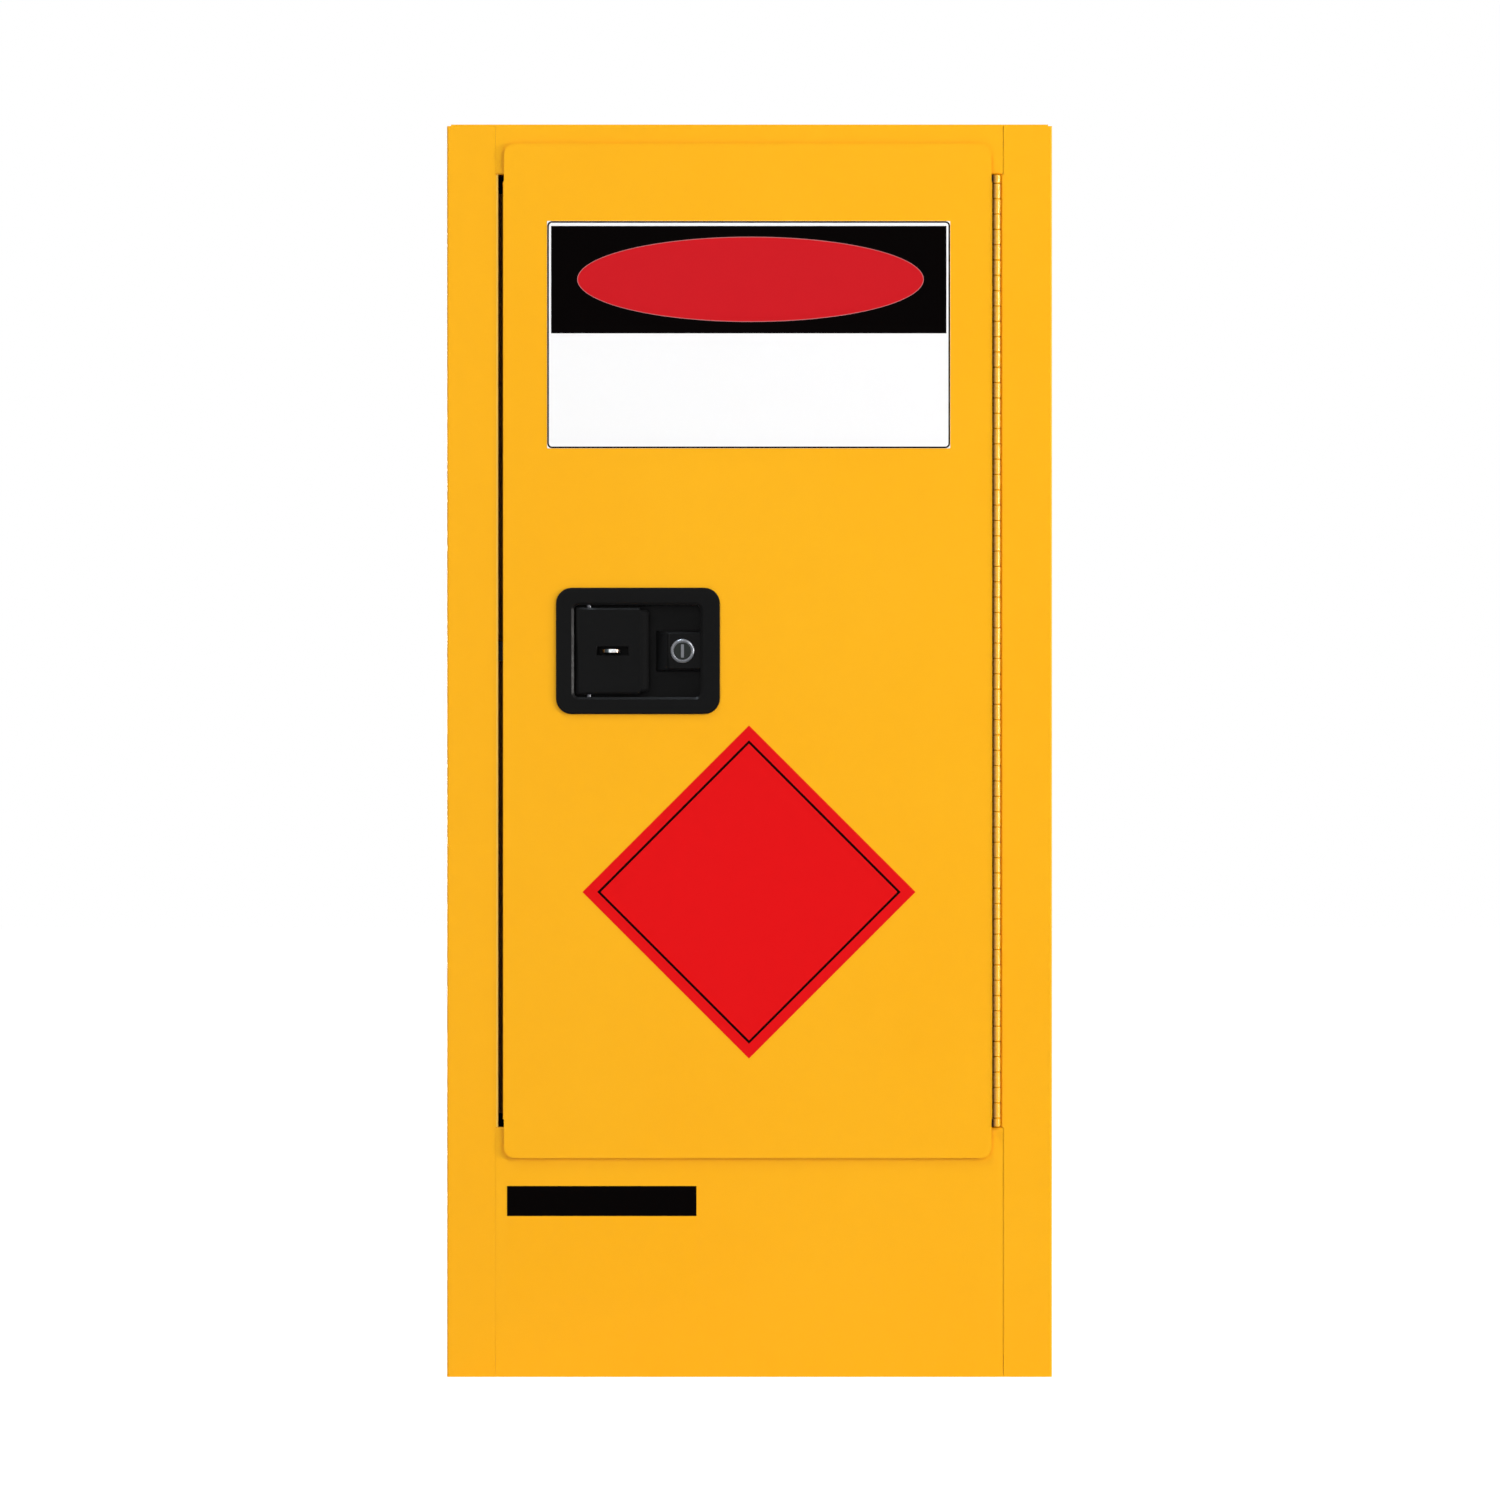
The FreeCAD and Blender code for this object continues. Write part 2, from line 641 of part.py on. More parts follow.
# Uprights: four slotted channels on the side liners, and the clips that hook in them and carry the shelf.
UPRIGHT_ROWS = {"front": f"({FRONT} + 82)", "rear": f"({LINER_BACK} - 82)"}
SLOT_START = "(shelf_level - 13 - 4 * upright_pitch)"
WEB = f"({LINER} - upright_depth)"
clips = []
for side, sign in SIGNS.items():
    for place, middle in UPRIGHT_ROWS.items():
        upright = new_body(f"{side}_{place}_upright")
        near, far = f"{middle} - upright_width / 2", f"{middle} + upright_width / 2"
        root, face, back_of_face = f"{sign} * {LINER}", f"{sign} * {WEB}", f"{sign} * ({WEB} + sheet)"
        grow(
            upright, "XY", ("sill + 10", "closer_level + 20"),
            outline(
                (root, near), (face, near), (face, far), (root, far),
                (root, f"{far} - sheet"), (back_of_face, f"{far} - sheet"),
                (back_of_face, f"{near} + sheet"), (root, f"{near} + sheet"),
            ),
        )
        slot = sink(
            upright, "YZ", span(sign, WEB, f"{WEB} + sheet"),
            rect((f"{middle} - 6", f"{middle} + 6"), (f"{SLOT_START} - 2", f"{SLOT_START} + 2")),
        )
        repeat(upright, slot, "Z", "upright_pitch", 9)
        across = (f"{middle} - 5.5", f"{middle} + 5.5")
        seat = "shelf_level - shelf_lip"
        plate = box(span(sign, f"{WEB} - bracket", WEB), across, (f"{seat} - sheet", f"{seat} + 20"))
        hook_x = span(sign, f"{WEB} - bracket", f"{WEB} + 4")
        hook = box(hook_x, across, (f"{seat} + 10.4", f"{seat} + 13.6"))
        ledge = box(span(sign, f"{WEB} - 15", WEB), across, (f"{seat} - sheet", seat))
        clips.append(union(plate, hook, ledge))
keep(group(*clips), "shelf_clips")

# Vents: a duct through the double wall, a flame-arresting screen in its inner end and a bung flush with the
# side.
ducts, screens = [], []
for side, sign in SIGNS.items():
    across = ("vent_offset", VENT_HEIGHTS[side])
    tube = bar("X", f"{DUCT} - 0.1", span(sign, f"{LINER} - bracket", SIDE), across, sides=24)
    collar = bar("X", f"{DUCT} + 8", span(sign, f"{LINER} - bracket", LINER), across, sides=24)
    bore = bar("X", "vent_radius", span(sign, f"{LINER} - 3", f"{SIDE} + 1"), across, sides=32)
    ducts.append(without(union(tube, collar), bore))
    screens.append(bar("X", "vent_radius - 0.1", span(sign, LINER, f"{LINER} + 0.8"), across, sides=32))
    plug = bar("X", "vent_radius - 0.4", span(sign, f"{SIDE} - 16", f"{SIDE} - 0.4"), across, sides=32)
    hollow = bar("X", "vent_radius - 4", span(sign, f"{SIDE} - 12", f"{SIDE} + 1"), across, sides=32)
    grip = box(span(sign, f"{SIDE} - 13", f"{SIDE} - 1.5"), (f"{across[0]} - 4", f"{across[0]} + 4"),
               (f"{across[1]} - vent_radius + 2", f"{across[1]} + vent_radius - 2"))
    keep(union(without(plug, hollow), grip), f"{side}_vent_bung")
keep(group(*ducts), "vent_ducts")
keep(group(*screens), "flame_screens")

# Earth stud: a hexagon-headed stud through the back panel, held by a nut. Past a relief groove its end is
# free.
head_y = (f"{BACK} - sheet - 5", f"{BACK} - sheet")
nut_end, groove_end, stud_end = f"{BACK} + 5", f"{BACK} + 6", f"{BACK} + 16"
earth_head = bar("Y", "stud_hexagon", head_y, STUD_PLACE, sides=6)
earth_shank = bar("Y", "stud_radius", (head_y[0], nut_end), STUD_PLACE)
earth_groove = bar("Y", "stud_radius - 0.7", (nut_end, groove_end), STUD_PLACE, sides=12)
earth_end = bar("Y", "stud_radius", (groove_end, stud_end), STUD_PLACE)
keep(union(earth_head, earth_shank, earth_groove, earth_end), "earth_stud")
earth_nut = bar("Y", "stud_hexagon", (BACK, nut_end), STUD_PLACE, sides=6)
earth_bore = bar("Y", "stud_radius / cos(15)", (f"{BACK} - 1", groove_end), STUD_PLACE, sides=12)
keep(without(earth_nut, earth_bore), "earth_nut")

# Keepers: plates that back the slots which the bolt and the rods enter.
bolt_keeper = new_body("bolt_keeper")
keeper_skin = span("-1", f"{LINER} + sheet", f"{LINER} + sheet + 2")
keeper_z = ("latch_level - 24", "latch_level + 24")
grow(bolt_keeper, "YZ", keeper_skin, rect((f"{FRONT} + 8", f"{FRONT} + 40"), keeper_z))
sink(bolt_keeper, "YZ", keeper_skin, BOLT_SLOT)
keepers = []
for rod, levels in (("upper", (f"{OPEN_TOP} + sheet", f"{OPEN_TOP} + sheet + 2")),
                    ("lower", (f"{SUMP_TOP} - 2", SUMP_TOP))):
    middle = ROD_PLACES[rod]
    plate = box((f"{middle} - 18", f"{middle} + 18"), (f"{FRONT} + 18", f"{FRONT} + 41"), levels)
    hole = box((f"{middle} - rod_width / 2 - 1", f"{middle} + rod_width / 2 + 1"),
               (f"{ROD_LEVEL[0]} - 1", f"{ROD_LEVEL[1]} + 1"), (f"{levels[0]} - 1", f"{levels[1]} + 1"))
    keepers.append(without(plate, hole))
keep(group(*keepers), "rod_keepers")

# Piano hinge: two leaves whose curled knuckles take turns along one pin. The knuckles at both ends are short.
HINGE_Y = f"({FRONT} - hinge_proud)"
HINGE_LOW, HINGE_HIGH = "(sill + 0.3)", f"({OPEN_TOP} - 0.3)"
FULL_KNUCKLES = 61
END_KNUCKLE = f"(({HINGE_HIGH} - {HINGE_LOW} - knuckle_pitch * {FULL_KNUCKLES}) / 2)"
LEAF_START = f"({HINGE_Y} + knuckle_radius + 0.45)"


def curl(sign):
    """A knuckle's outline: a tongue of the leaf that runs into a curl about the pin. There are 63 knuckles,
    so the curl has a few flats in place of an arc."""
    inner_face = f"hinge_side + {sign} * (leaf_offset - leaf)"
    outer_face = f"hinge_side + {sign} * leaf_offset"
    flats = 8
    turn = f"(360 deg - acos((leaf_offset - leaf) / knuckle_radius)) / {flats}"
    spots = []
    for number in range(flats + 1):
        aside, ahead = [f"knuckle_radius * {wave}({number} * {turn})" for wave in ("cos", "sin")]
        spots.append((f"hinge_side + {sign} * {aside}", f"{HINGE_Y} - {ahead}"))
    root = f"{LEAF_START} + 0.5"
    return outline((inner_face, root), (outer_face, root), (outer_face, HINGE_Y), *spots)


def hinge_leaf(label, sign, first, count, bore):
    """A leaf with every second knuckle. The leaf that starts at the second also has the short end ones."""
    leaf = new_body(label)
    faces = (f"hinge_side + {sign} * (leaf_offset - leaf)", f"hinge_side + {sign} * leaf_offset")
    limits = sorted(faces, key=value)
    grow(leaf, "XY", (HINGE_LOW, HINGE_HIGH), rect(limits, (LEAF_START, f"{HINGE_Y} + leaf_width")))
    start = f"{HINGE_LOW} + {END_KNUCKLE} + knuckle_pitch * {first}"
    knuckle = grow(
        leaf, "XY", (f"{start} + knuckle_gap / 2", f"{start} + knuckle_pitch - knuckle_gap / 2"), curl(sign)
    )
    repeat(leaf, knuckle, "Z", "knuckle_pitch * 2", count)
    if first:
        grow(leaf, "XY", (HINGE_LOW, f"{HINGE_LOW} + {END_KNUCKLE} - knuckle_gap / 2"), curl(sign))
        grow(leaf, "XY", (f"{HINGE_HIGH} - {END_KNUCKLE} + knuckle_gap / 2", HINGE_HIGH), curl(sign))
    sink(leaf, "XY", (HINGE_LOW, HINGE_HIGH), polygon("hinge_side", HINGE_Y, bore, 4))
    return leaf


hinge_leaf("hinge_frame_leaf", "1", 1, FULL_KNUCKLES // 2, "hinge_pin")
hinge_leaf("hinge_door_leaf", "-1", 0, FULL_KNUCKLES // 2 + 1, "hinge_pin + running")
keep(bar("Z", "hinge_pin", (HINGE_LOW, HINGE_HIGH), ("hinge_side", HINGE_Y)), "hinge_pin")

# Door skin: one sheet with rounded corners. Between the opening's ends it folds back at both sides.
DOOR_FACE = f"({FRONT} - door_proud)"
SKIN_BACK = f"({DOOR_FACE} + sheet)"
PAN_FACE = f"({FRONT} + door_depth)"
round_left, round_right = "-door_left + door_corner", "door_right - door_corner"
round_low, round_high = "door_bottom + door_corner", "door_top - door_corner"
door_skin = new_body("door_skin")
grow(
    door_skin, "XZ", (DOOR_FACE, SKIN_BACK),
    outline(
        (round_left, "door_bottom"), (round_right, "door_bottom"), arc(round_right, round_low),
        ("door_right", round_low), ("door_right", "pan_bottom"),
        ("pan_right", "pan_bottom"), ("pan_right", "pan_top"),
        ("door_right", "pan_top"), ("door_right", round_high), arc(round_right, round_high),
        (round_right, "door_top"), (round_left, "door_top"), arc(round_left, round_high),
        ("-door_left", round_high), ("-door_left", "pan_top"),
        ("-pan_left", "pan_top"), ("-pan_left", "pan_bottom"),
        ("-door_left", "pan_bottom"), ("-door_left", round_low), arc(round_left, round_low),
    ),
)
grow(
    door_skin, "XY", ("pan_bottom", "pan_top"),
    rect(("-pan_left", "-pan_left + sheet"), (SKIN_BACK, PAN_FACE)),
    rect(("pan_right - sheet", "pan_right"), (SKIN_BACK, PAN_FACE)),
)

# Latch housing: a moulded bezel and recess, with the lock's boss in its floor.
BEZEL_FACE = f"({DOOR_FACE} - bezel_proud)"
BEZEL_BACK = f"({DOOR_FACE} - gasket)"
RECESS_FLOOR = f"({BEZEL_FACE} + recess)"
FLOOR_BACK = f"({RECESS_FLOOR} + moulding)"
RECESS_X = ("(-mouth_left + mouth_bevel)", "(-mouth_right - mouth_bevel)")
RECESS_Z = ("(latch_level - mouth_tall / 2 + mouth_bevel)", "(latch_level + mouth_tall / 2 - mouth_bevel)")
RECESS_CORNER = "4"
BOWL = tuple((f"{low} - moulding", f"{high} + moulding") for low, high in (RECESS_X, RECESS_Z))
CUT_OUT = tuple((f"{low} - 0.3", f"{high} + 0.3") for low, high in BOWL)
BEZEL = (("-bezel_left", "-bezel_right"), ("latch_level - bezel_tall / 2", "latch_level + bezel_tall / 2"))
PIVOT = ("-pivot_side", f"{FRONT} + pivot_inset")
LOCK_PLACE = ("-lock_side", "latch_level")
BOSS_TOP = f"({FRONT} - 1.6)"
LOCK_HOLE = polygon(*LOCK_PLACE, "lock_barrel", 12)
ARM_SLOT = rect(("-pivot_side - 9", "-pivot_side + 9"), ("latch_level - 5.5", "latch_level + 5.5"))
SCREW_DEPTH = "1.3"
SCREW_PLACES = [
    (x, f"latch_level + {z}") for x in ("(-pivot_side - 5)", "(-lock_side + 8)") for z in ("-31", "31")
]
SCREW_HOLES = [polygon(*place, "screw_radius", 8) for place in SCREW_PLACES]
EYE_X = ("-eye_left", "-eye_right")
EYE_Z = ("latch_level - 1.5", "latch_level + 1.5")

latch_housing = new_body("latch_housing")
grow(latch_housing, "XZ", (BEZEL_FACE, BEZEL_BACK), rect(*BEZEL, "bezel_corner"))
grow(latch_housing, "XZ", (BEZEL_BACK, FLOOR_BACK), rect(*BOWL))
sink(latch_housing, "XZ", (BEZEL_FACE, RECESS_FLOOR), rect(RECESS_X, RECESS_Z, RECESS_CORNER))
soften(latch_housing, "Chamfer", "mouth_bevel", {"y": BEZEL_FACE, "x": RECESS_X[0]})
soften(latch_housing, "Chamfer", "1", {"y": BEZEL_FACE, "x": "-bezel_left"})
taper(
    latch_housing, "XZ",
    RECESS_FLOOR, rect(("-lock_side - 22", RECESS_X[1]), ("latch_level - 17", "latch_level + 17")),
    BOSS_TOP, rect(("-lock_side - 12.4", RECESS_X[1]), ("latch_level - 15", "latch_level + 15")),
)
sink(latch_housing, "XZ", (BOSS_TOP, FLOOR_BACK), LOCK_HOLE)
sink(latch_housing, "XZ", (RECESS_FLOOR, FLOOR_BACK), ARM_SLOT, rect(EYE_X, EYE_Z))
sink(latch_housing, "XZ", (f"{FLOOR_BACK} - {SCREW_DEPTH}", FLOOR_BACK), *SCREW_HOLES)
PIN_ENDS = (f"{RECESS_Z[0]} - 1.5", f"{RECESS_Z[1]} + 1.5")
sink(latch_housing, "XY", PIN_ENDS, polygon(*PIVOT, "paddle_pin", 8))

sink(door_skin, "XZ", (DOOR_FACE, SKIN_BACK), rect(*CUT_OUT))
sink(
    door_skin, "YZ", ("-pan_left", "-pan_left + sheet"),
    rect((f"{BOLT_LEVEL[0]} - 1", f"{BOLT_LEVEL[1]} + 1"), ("latch_level - 9", "latch_level + 9")),
)
soften(door_skin, "Fillet", "0.7", {"x": "-pan_left", "y": DOOR_FACE}, {"x": "pan_right", "y": DOOR_FACE})

latch_gasket = new_body("latch_gasket")
grow(
    latch_gasket, "XZ", (BEZEL_BACK, DOOR_FACE),
    rect(*[(f"{low} + 1", f"{high} - 1") for low, high in BEZEL], "bezel_corner - 1"),
    rect(*CUT_OUT),
)

# Door inner pan: the door's rear sheet, with a flange forward to the skin at the top and the bottom.
door_inner_pan = new_body("door_inner_pan")
inner_low, inner_high = "(pan_bottom + 0.1)", "(pan_top - 0.1)"
grow(
    door_inner_pan, "YZ", ("-pan_left + sheet + 0.1", "pan_right - sheet - 0.1"),
    outline(
        (SKIN_BACK, inner_low), (PAN_FACE, inner_low), (PAN_FACE, inner_high), (SKIN_BACK, inner_high),
        (SKIN_BACK, f"{inner_high} - sheet"), (f"{PAN_FACE} - sheet", f"{inner_high} - sheet"),
        (f"{PAN_FACE} - sheet", f"{inner_low} + sheet"), (SKIN_BACK, f"{inner_low} + sheet"),
    ),
)
for rod, levels in (
    ("upper", (f"{inner_high} - sheet", inner_high)),
    ("lower", (inner_low, f"{inner_low} + sheet")),
):
    passage = rect(
        (f"{ROD_PLACES[rod]} - rod_width / 2 - rod_play", f"{ROD_PLACES[rod]} + rod_width / 2 + rod_play"),
        (f"{ROD_LEVEL[0]} - rod_play", f"{ROD_LEVEL[1]} + rod_play"),
    )
    sink(door_inner_pan, "XY", levels, passage)

# Latch back plate: a hat section behind the recess, riveted to the skin, that the mechanism works on.
PLATE_BACK = f"({FLOOR_BACK} + plate)"
CRANK_PLACE = ("-crank_side", "latch_level - crank_drop")
latch_back_plate = new_body("latch_back_plate")
brim_back = f"{SKIN_BACK} + plate"
inside, outside, brim_end = "plate_half", "plate_half + plate", "plate_half + plate + plate_brim"
grow(
    latch_back_plate, "YZ", ("-bezel_left - 5", "-bezel_right - 5"),
    outline(
        (SKIN_BACK, f"latch_level - ({brim_end})"), (brim_back, f"latch_level - ({brim_end})"),
        (brim_back, f"latch_level - ({outside})"), (PLATE_BACK, f"latch_level - ({outside})"),
        (PLATE_BACK, f"latch_level + {outside}"), (brim_back, f"latch_level + {outside}"),
        (brim_back, f"latch_level + {brim_end}"), (SKIN_BACK, f"latch_level + {brim_end}"),
        (SKIN_BACK, f"latch_level + {inside}"), (FLOOR_BACK, f"latch_level + {inside}"),
        (FLOOR_BACK, f"latch_level - {inside}"), (SKIN_BACK, f"latch_level - {inside}"),
    ),
)
sink(
    latch_back_plate, "XZ", (FLOOR_BACK, PLATE_BACK),
    LOCK_HOLE, ARM_SLOT, polygon(*CRANK_PLACE, "crank_stud", 12), *SCREW_HOLES,
)

latch_screws = new_body("latch_screws")
latch_screws.AllowCompound = True
grow(latch_screws, "XZ", (f"{FLOOR_BACK} - {SCREW_DEPTH}", PLATE_BACK), *SCREW_HOLES)
screw_heads = [polygon(*place, "screw_head", 6) for place in SCREW_PLACES]
grow(latch_screws, "XZ", (PLATE_BACK, f"{PLATE_BACK} + 2.4"), *screw_heads)

# Padlock eye: a round-cornered steel tongue through the paddle's slot, with a hole for a shackle.
EYE_TIP = f"({BEZEL_FACE} - eye_reach)"
corner_y = f"{EYE_TIP} + eye_round"
padlock_eye = new_body("padlock_eye")
grow(
    padlock_eye, "XY", EYE_Z,
    outline(
        ("-eye_right", FLOOR_BACK), ("-eye_left", FLOOR_BACK),
        ("-eye_left", corner_y), arc("-eye_left + eye_round", corner_y),
        ("-eye_left + eye_round", EYE_TIP), ("-eye_right - eye_round", EYE_TIP),
        arc("-eye_right - eye_round", corner_y), ("-eye_right", corner_y),
    ),
)
sink(padlock_eye, "XY", EYE_Z, disc("-(eye_left + eye_right) / 2", corner_y, "shackle_radius"))

# Paddle: a pull plate with a turned-in lip. Its barrel turns on the pin, and its arm moves the bolt.
PADDLE_FACE = f"({BEZEL_FACE} + 0.5)"
PADDLE_BACK = f"({PADDLE_FACE} + paddle_thick)"
PADDLE_Z = ("latch_level - paddle_tall / 2", "latch_level + paddle_tall / 2")
LIP_ROUND = "(paddle_flat - paddle_right)"
SPRING_Z = ("latch_level + 6", "latch_level + 19")
paddle = new_body("paddle")
grow(
    paddle, "XY", PADDLE_Z,
    outline(
        ("-paddle_left", PADDLE_FACE), ("-paddle_flat", PADDLE_FACE),
        arc("-paddle_flat", f"{PADDLE_FACE} + {LIP_ROUND}"),
        ("-paddle_right", f"{PADDLE_FACE} + {LIP_ROUND}"), ("-paddle_right", f"{PADDLE_FACE} + 15"),
        ("-paddle_right - paddle_thick", f"{PADDLE_FACE} + 15"),
        ("-paddle_right - paddle_thick", f"{PADDLE_FACE} + {LIP_ROUND}"),
        arc("-paddle_flat", f"{PADDLE_FACE} + {LIP_ROUND}", -1),
        ("-paddle_flat", PADDLE_BACK), ("-paddle_left", PADDLE_BACK),
    ),
)
soften(
    paddle, "Chamfer", "1.4",
    {"y": PADDLE_FACE, "z": PADDLE_Z[0]}, {"y": PADDLE_FACE, "z": PADDLE_Z[1]},
    {"x": "-paddle_left", "y": PADDLE_FACE},
)
grow(paddle, "XY", (PADDLE_Z[0], SPRING_Z[0]), disc(*PIVOT, "paddle_barrel"))
grow(paddle, "XY", (SPRING_Z[1], PADDLE_Z[1]), disc(*PIVOT, "paddle_barrel"))


def link(x, y, angle, reach, half_width):
    """A flat bar with round ends, from (x, y) over reach in the direction of angle."""
    end_x, end_y = f"{x} + ({reach}) * cos({angle})", f"{y} + ({reach}) * sin({angle})"
    aside, along = f"({half_width}) * sin({angle})", f"({half_width}) * cos({angle})"
    return outline(
        (f"{x} + {aside}", f"{y} - {along}"), (f"{end_x} + {aside}", f"{end_y} - {along}"),
        arc(end_x, end_y),
        (f"{end_x} - {aside}", f"{end_y} + {along}"), (f"{x} - {aside}", f"{y} + {along}"),
        arc(x, y),
    )


ARM_TIP = (f"{PIVOT[0]} - arm_reach * sin(arm_swing)", f"{PIVOT[1]} + arm_reach * cos(arm_swing)")
ARM_Z = ("latch_level - 4", "latch_level + 4")
grow(paddle, "XY", ARM_Z, link(*PIVOT, "(90 + arm_swing)", "arm_reach", "2.4"))
grow(paddle, "XY", ARM_Z, disc(*ARM_TIP, "3"))
sink(paddle, "XY", PADDLE_Z, disc(*PIVOT, "paddle_pin + running"))
sink(
    paddle, "XZ", (PADDLE_FACE, PADDLE_BACK),
    rect(("-eye_left - 4.5", "-eye_right + 7"), (f"{EYE_Z[0]} - 2.2", f"{EYE_Z[1]} + 2.2")),
)
keep(bar("Z", "paddle_pin", PIN_ENDS, PIVOT), "paddle_pin")

# Paddle spring: a coil of square wire round the pin, with a leg at each end that points at the recess's
# floor.
SPRING_PITCH, SPRING_TURNS = 4, 1.5
spring_low = f"({SPRING_Z[0]} + 1)"
spring_high = f"({spring_low} + {SPRING_PITCH * SPRING_TURNS})"
paddle_spring = new_body("paddle_spring")
wire_section = sketch_on(
    paddle_spring, "XZ", "0",
    rect(("-spring_coil - spring_wire / 2", "-spring_coil + spring_wire / 2"),
         (spring_low, f"{spring_low} + spring_wire")),
)
coil = paddle_spring.newObject("PartDesign::AdditiveHelix", "paddle_spring_coil")
coil.Profile = wire_section
coil.ReferenceAxis = (wire_section, ["V_Axis"])
coil.Mode = "pitch-turns-angle"
coil.Pitch = SPRING_PITCH
coil.Turns = SPRING_TURNS
settle(paddle_spring, coil, 1)
for side, level in (("-1", spring_low), ("1", spring_high)):
    leg = rect(span(side, "spring_coil - spring_wire / 2", "spring_coil + spring_wire / 2"), ("0", "11"))
    grow(paddle_spring, "XY", (level, f"{level} + spring_wire"), leg)
bind(paddle_spring, Placement__Base__x=PIVOT[0], Placement__Base__y=PIVOT[1])

# Bolt: a flat bar whose ramped tip enters the frame. The arm works in its first window and the crank in its
# second.
latch_bolt = new_body("latch_bolt")
BOLT_Z = ("latch_level - bolt_tall / 2", "latch_level + bolt_tall / 2")
grow(
    latch_bolt, "XY", BOLT_Z,
    outline(
        ("-bolt_tip", BOLT_LEVEL[0]), ("-bolt_tail", BOLT_LEVEL[0]), ("-bolt_tail", f"{BOLT_LEVEL[1]} + 5.8"),
        ("-bolt_tail - 3", f"{BOLT_LEVEL[1]} + 5.8"), ("-bolt_tail - 3", BOLT_LEVEL[1]),
        ("-bolt_tip + 10.5", BOLT_LEVEL[1]), ("-bolt_tip", f"{BOLT_LEVEL[0]} + 1"),
    ),
)
CRANK_PIN_X = "(-crank_side - crank_reach * sin(crank_swing))"
sink(
    latch_bolt, "XZ", BOLT_LEVEL,
    rect((f"{ARM_TIP[0]} - 3.6", f"{ARM_TIP[0]} + 3.6"), ("latch_level - 5", "latch_level + 5")),
    rect((f"{CRANK_PIN_X} - 3.3", f"{CRANK_PIN_X} + 3.3"), ("latch_level - 4.5", "latch_level + 4.5")),
)

bolt_guide = new_body("bolt_guide")
grow(
    bolt_guide, "YZ", ("-bezel_left", "-bezel_left + 8"),
    outline(
        (PLATE_BACK, f"{BOLT_Z[0]} - 8"), (f"{PLATE_BACK} + sheet", f"{BOLT_Z[0]} - 8"),
        (f"{PLATE_BACK} + sheet", f"{BOLT_Z[0]} - 0.5 - sheet"),
        (f"{BOLT_LEVEL[1]} + 0.5 + sheet", f"{BOLT_Z[0]} - 0.5 - sheet"),
        (f"{BOLT_LEVEL[1]} + 0.5 + sheet", f"{BOLT_Z[1]} + 0.5 + sheet"),
        (f"{PLATE_BACK} + sheet", f"{BOLT_Z[1]} + 0.5 + sheet"),
        (f"{PLATE_BACK} + sheet", f"{BOLT_Z[1]} + 8"), (PLATE_BACK, f"{BOLT_Z[1]} + 8"),
        (PLATE_BACK, f"{BOLT_Z[1]} + 0.5"), (f"{BOLT_LEVEL[1]} + 0.5", f"{BOLT_Z[1]} + 0.5"),
        (f"{BOLT_LEVEL[1]} + 0.5", f"{BOLT_Z[0]} - 0.5"), (PLATE_BACK, f"{BOLT_Z[0]} - 0.5"),
    ),
)

# Crank plate: its upper pin is in the bolt, and the pins at its sides draw the rods together.
CRANK_LEVEL = (f"{BOLT_LEVEL[1]} + 0.6", f"{BOLT_LEVEL[1]} + 3.4")
FORWARD = (f"{BOLT_LEVEL[0]} + 0.2", CRANK_LEVEL[1])
BACKWARD = (CRANK_LEVEL[0], f"{ROD_LEVEL[1]} + 0.8")
CRANK_PINS = {"(90 + crank_swing)": FORWARD, "crank_swing": BACKWARD, "(180 + crank_swing)": BACKWARD}
crank_plate = new_body("crank_plate")
for angle in CRANK_PINS:
    grow(crank_plate, "XZ", CRANK_LEVEL, link(*CRANK_PLACE, angle, "crank_reach", "4.5"))
grow(crank_plate, "XZ", CRANK_LEVEL, disc(*CRANK_PLACE, "7"))
for angle, pin_levels in CRANK_PINS.items():
    pin_x = f"{CRANK_PLACE[0]} + crank_reach * cos({angle})"
    pin_z = f"{CRANK_PLACE[1]} + crank_reach * sin({angle})"
    grow(crank_plate, "XZ", pin_levels, polygon(pin_x, pin_z, "crank_pin", 8))
sink(crank_plate, "XZ", CRANK_LEVEL, disc(*CRANK_PLACE, "crank_stud + running"))
crank_shank = bar("Y", "crank_stud", (FLOOR_BACK, f"{CRANK_LEVEL[1]} + 1"), CRANK_PLACE)
crank_head_y = (f"{CRANK_LEVEL[1]} + 0.1", f"{CRANK_LEVEL[1]} + 1")
crank_head = bar("Y", "crank_stud + 1.6", crank_head_y, CRANK_PLACE, sides=6)
keep(union(crank_shank, crank_head), "crank_stud")

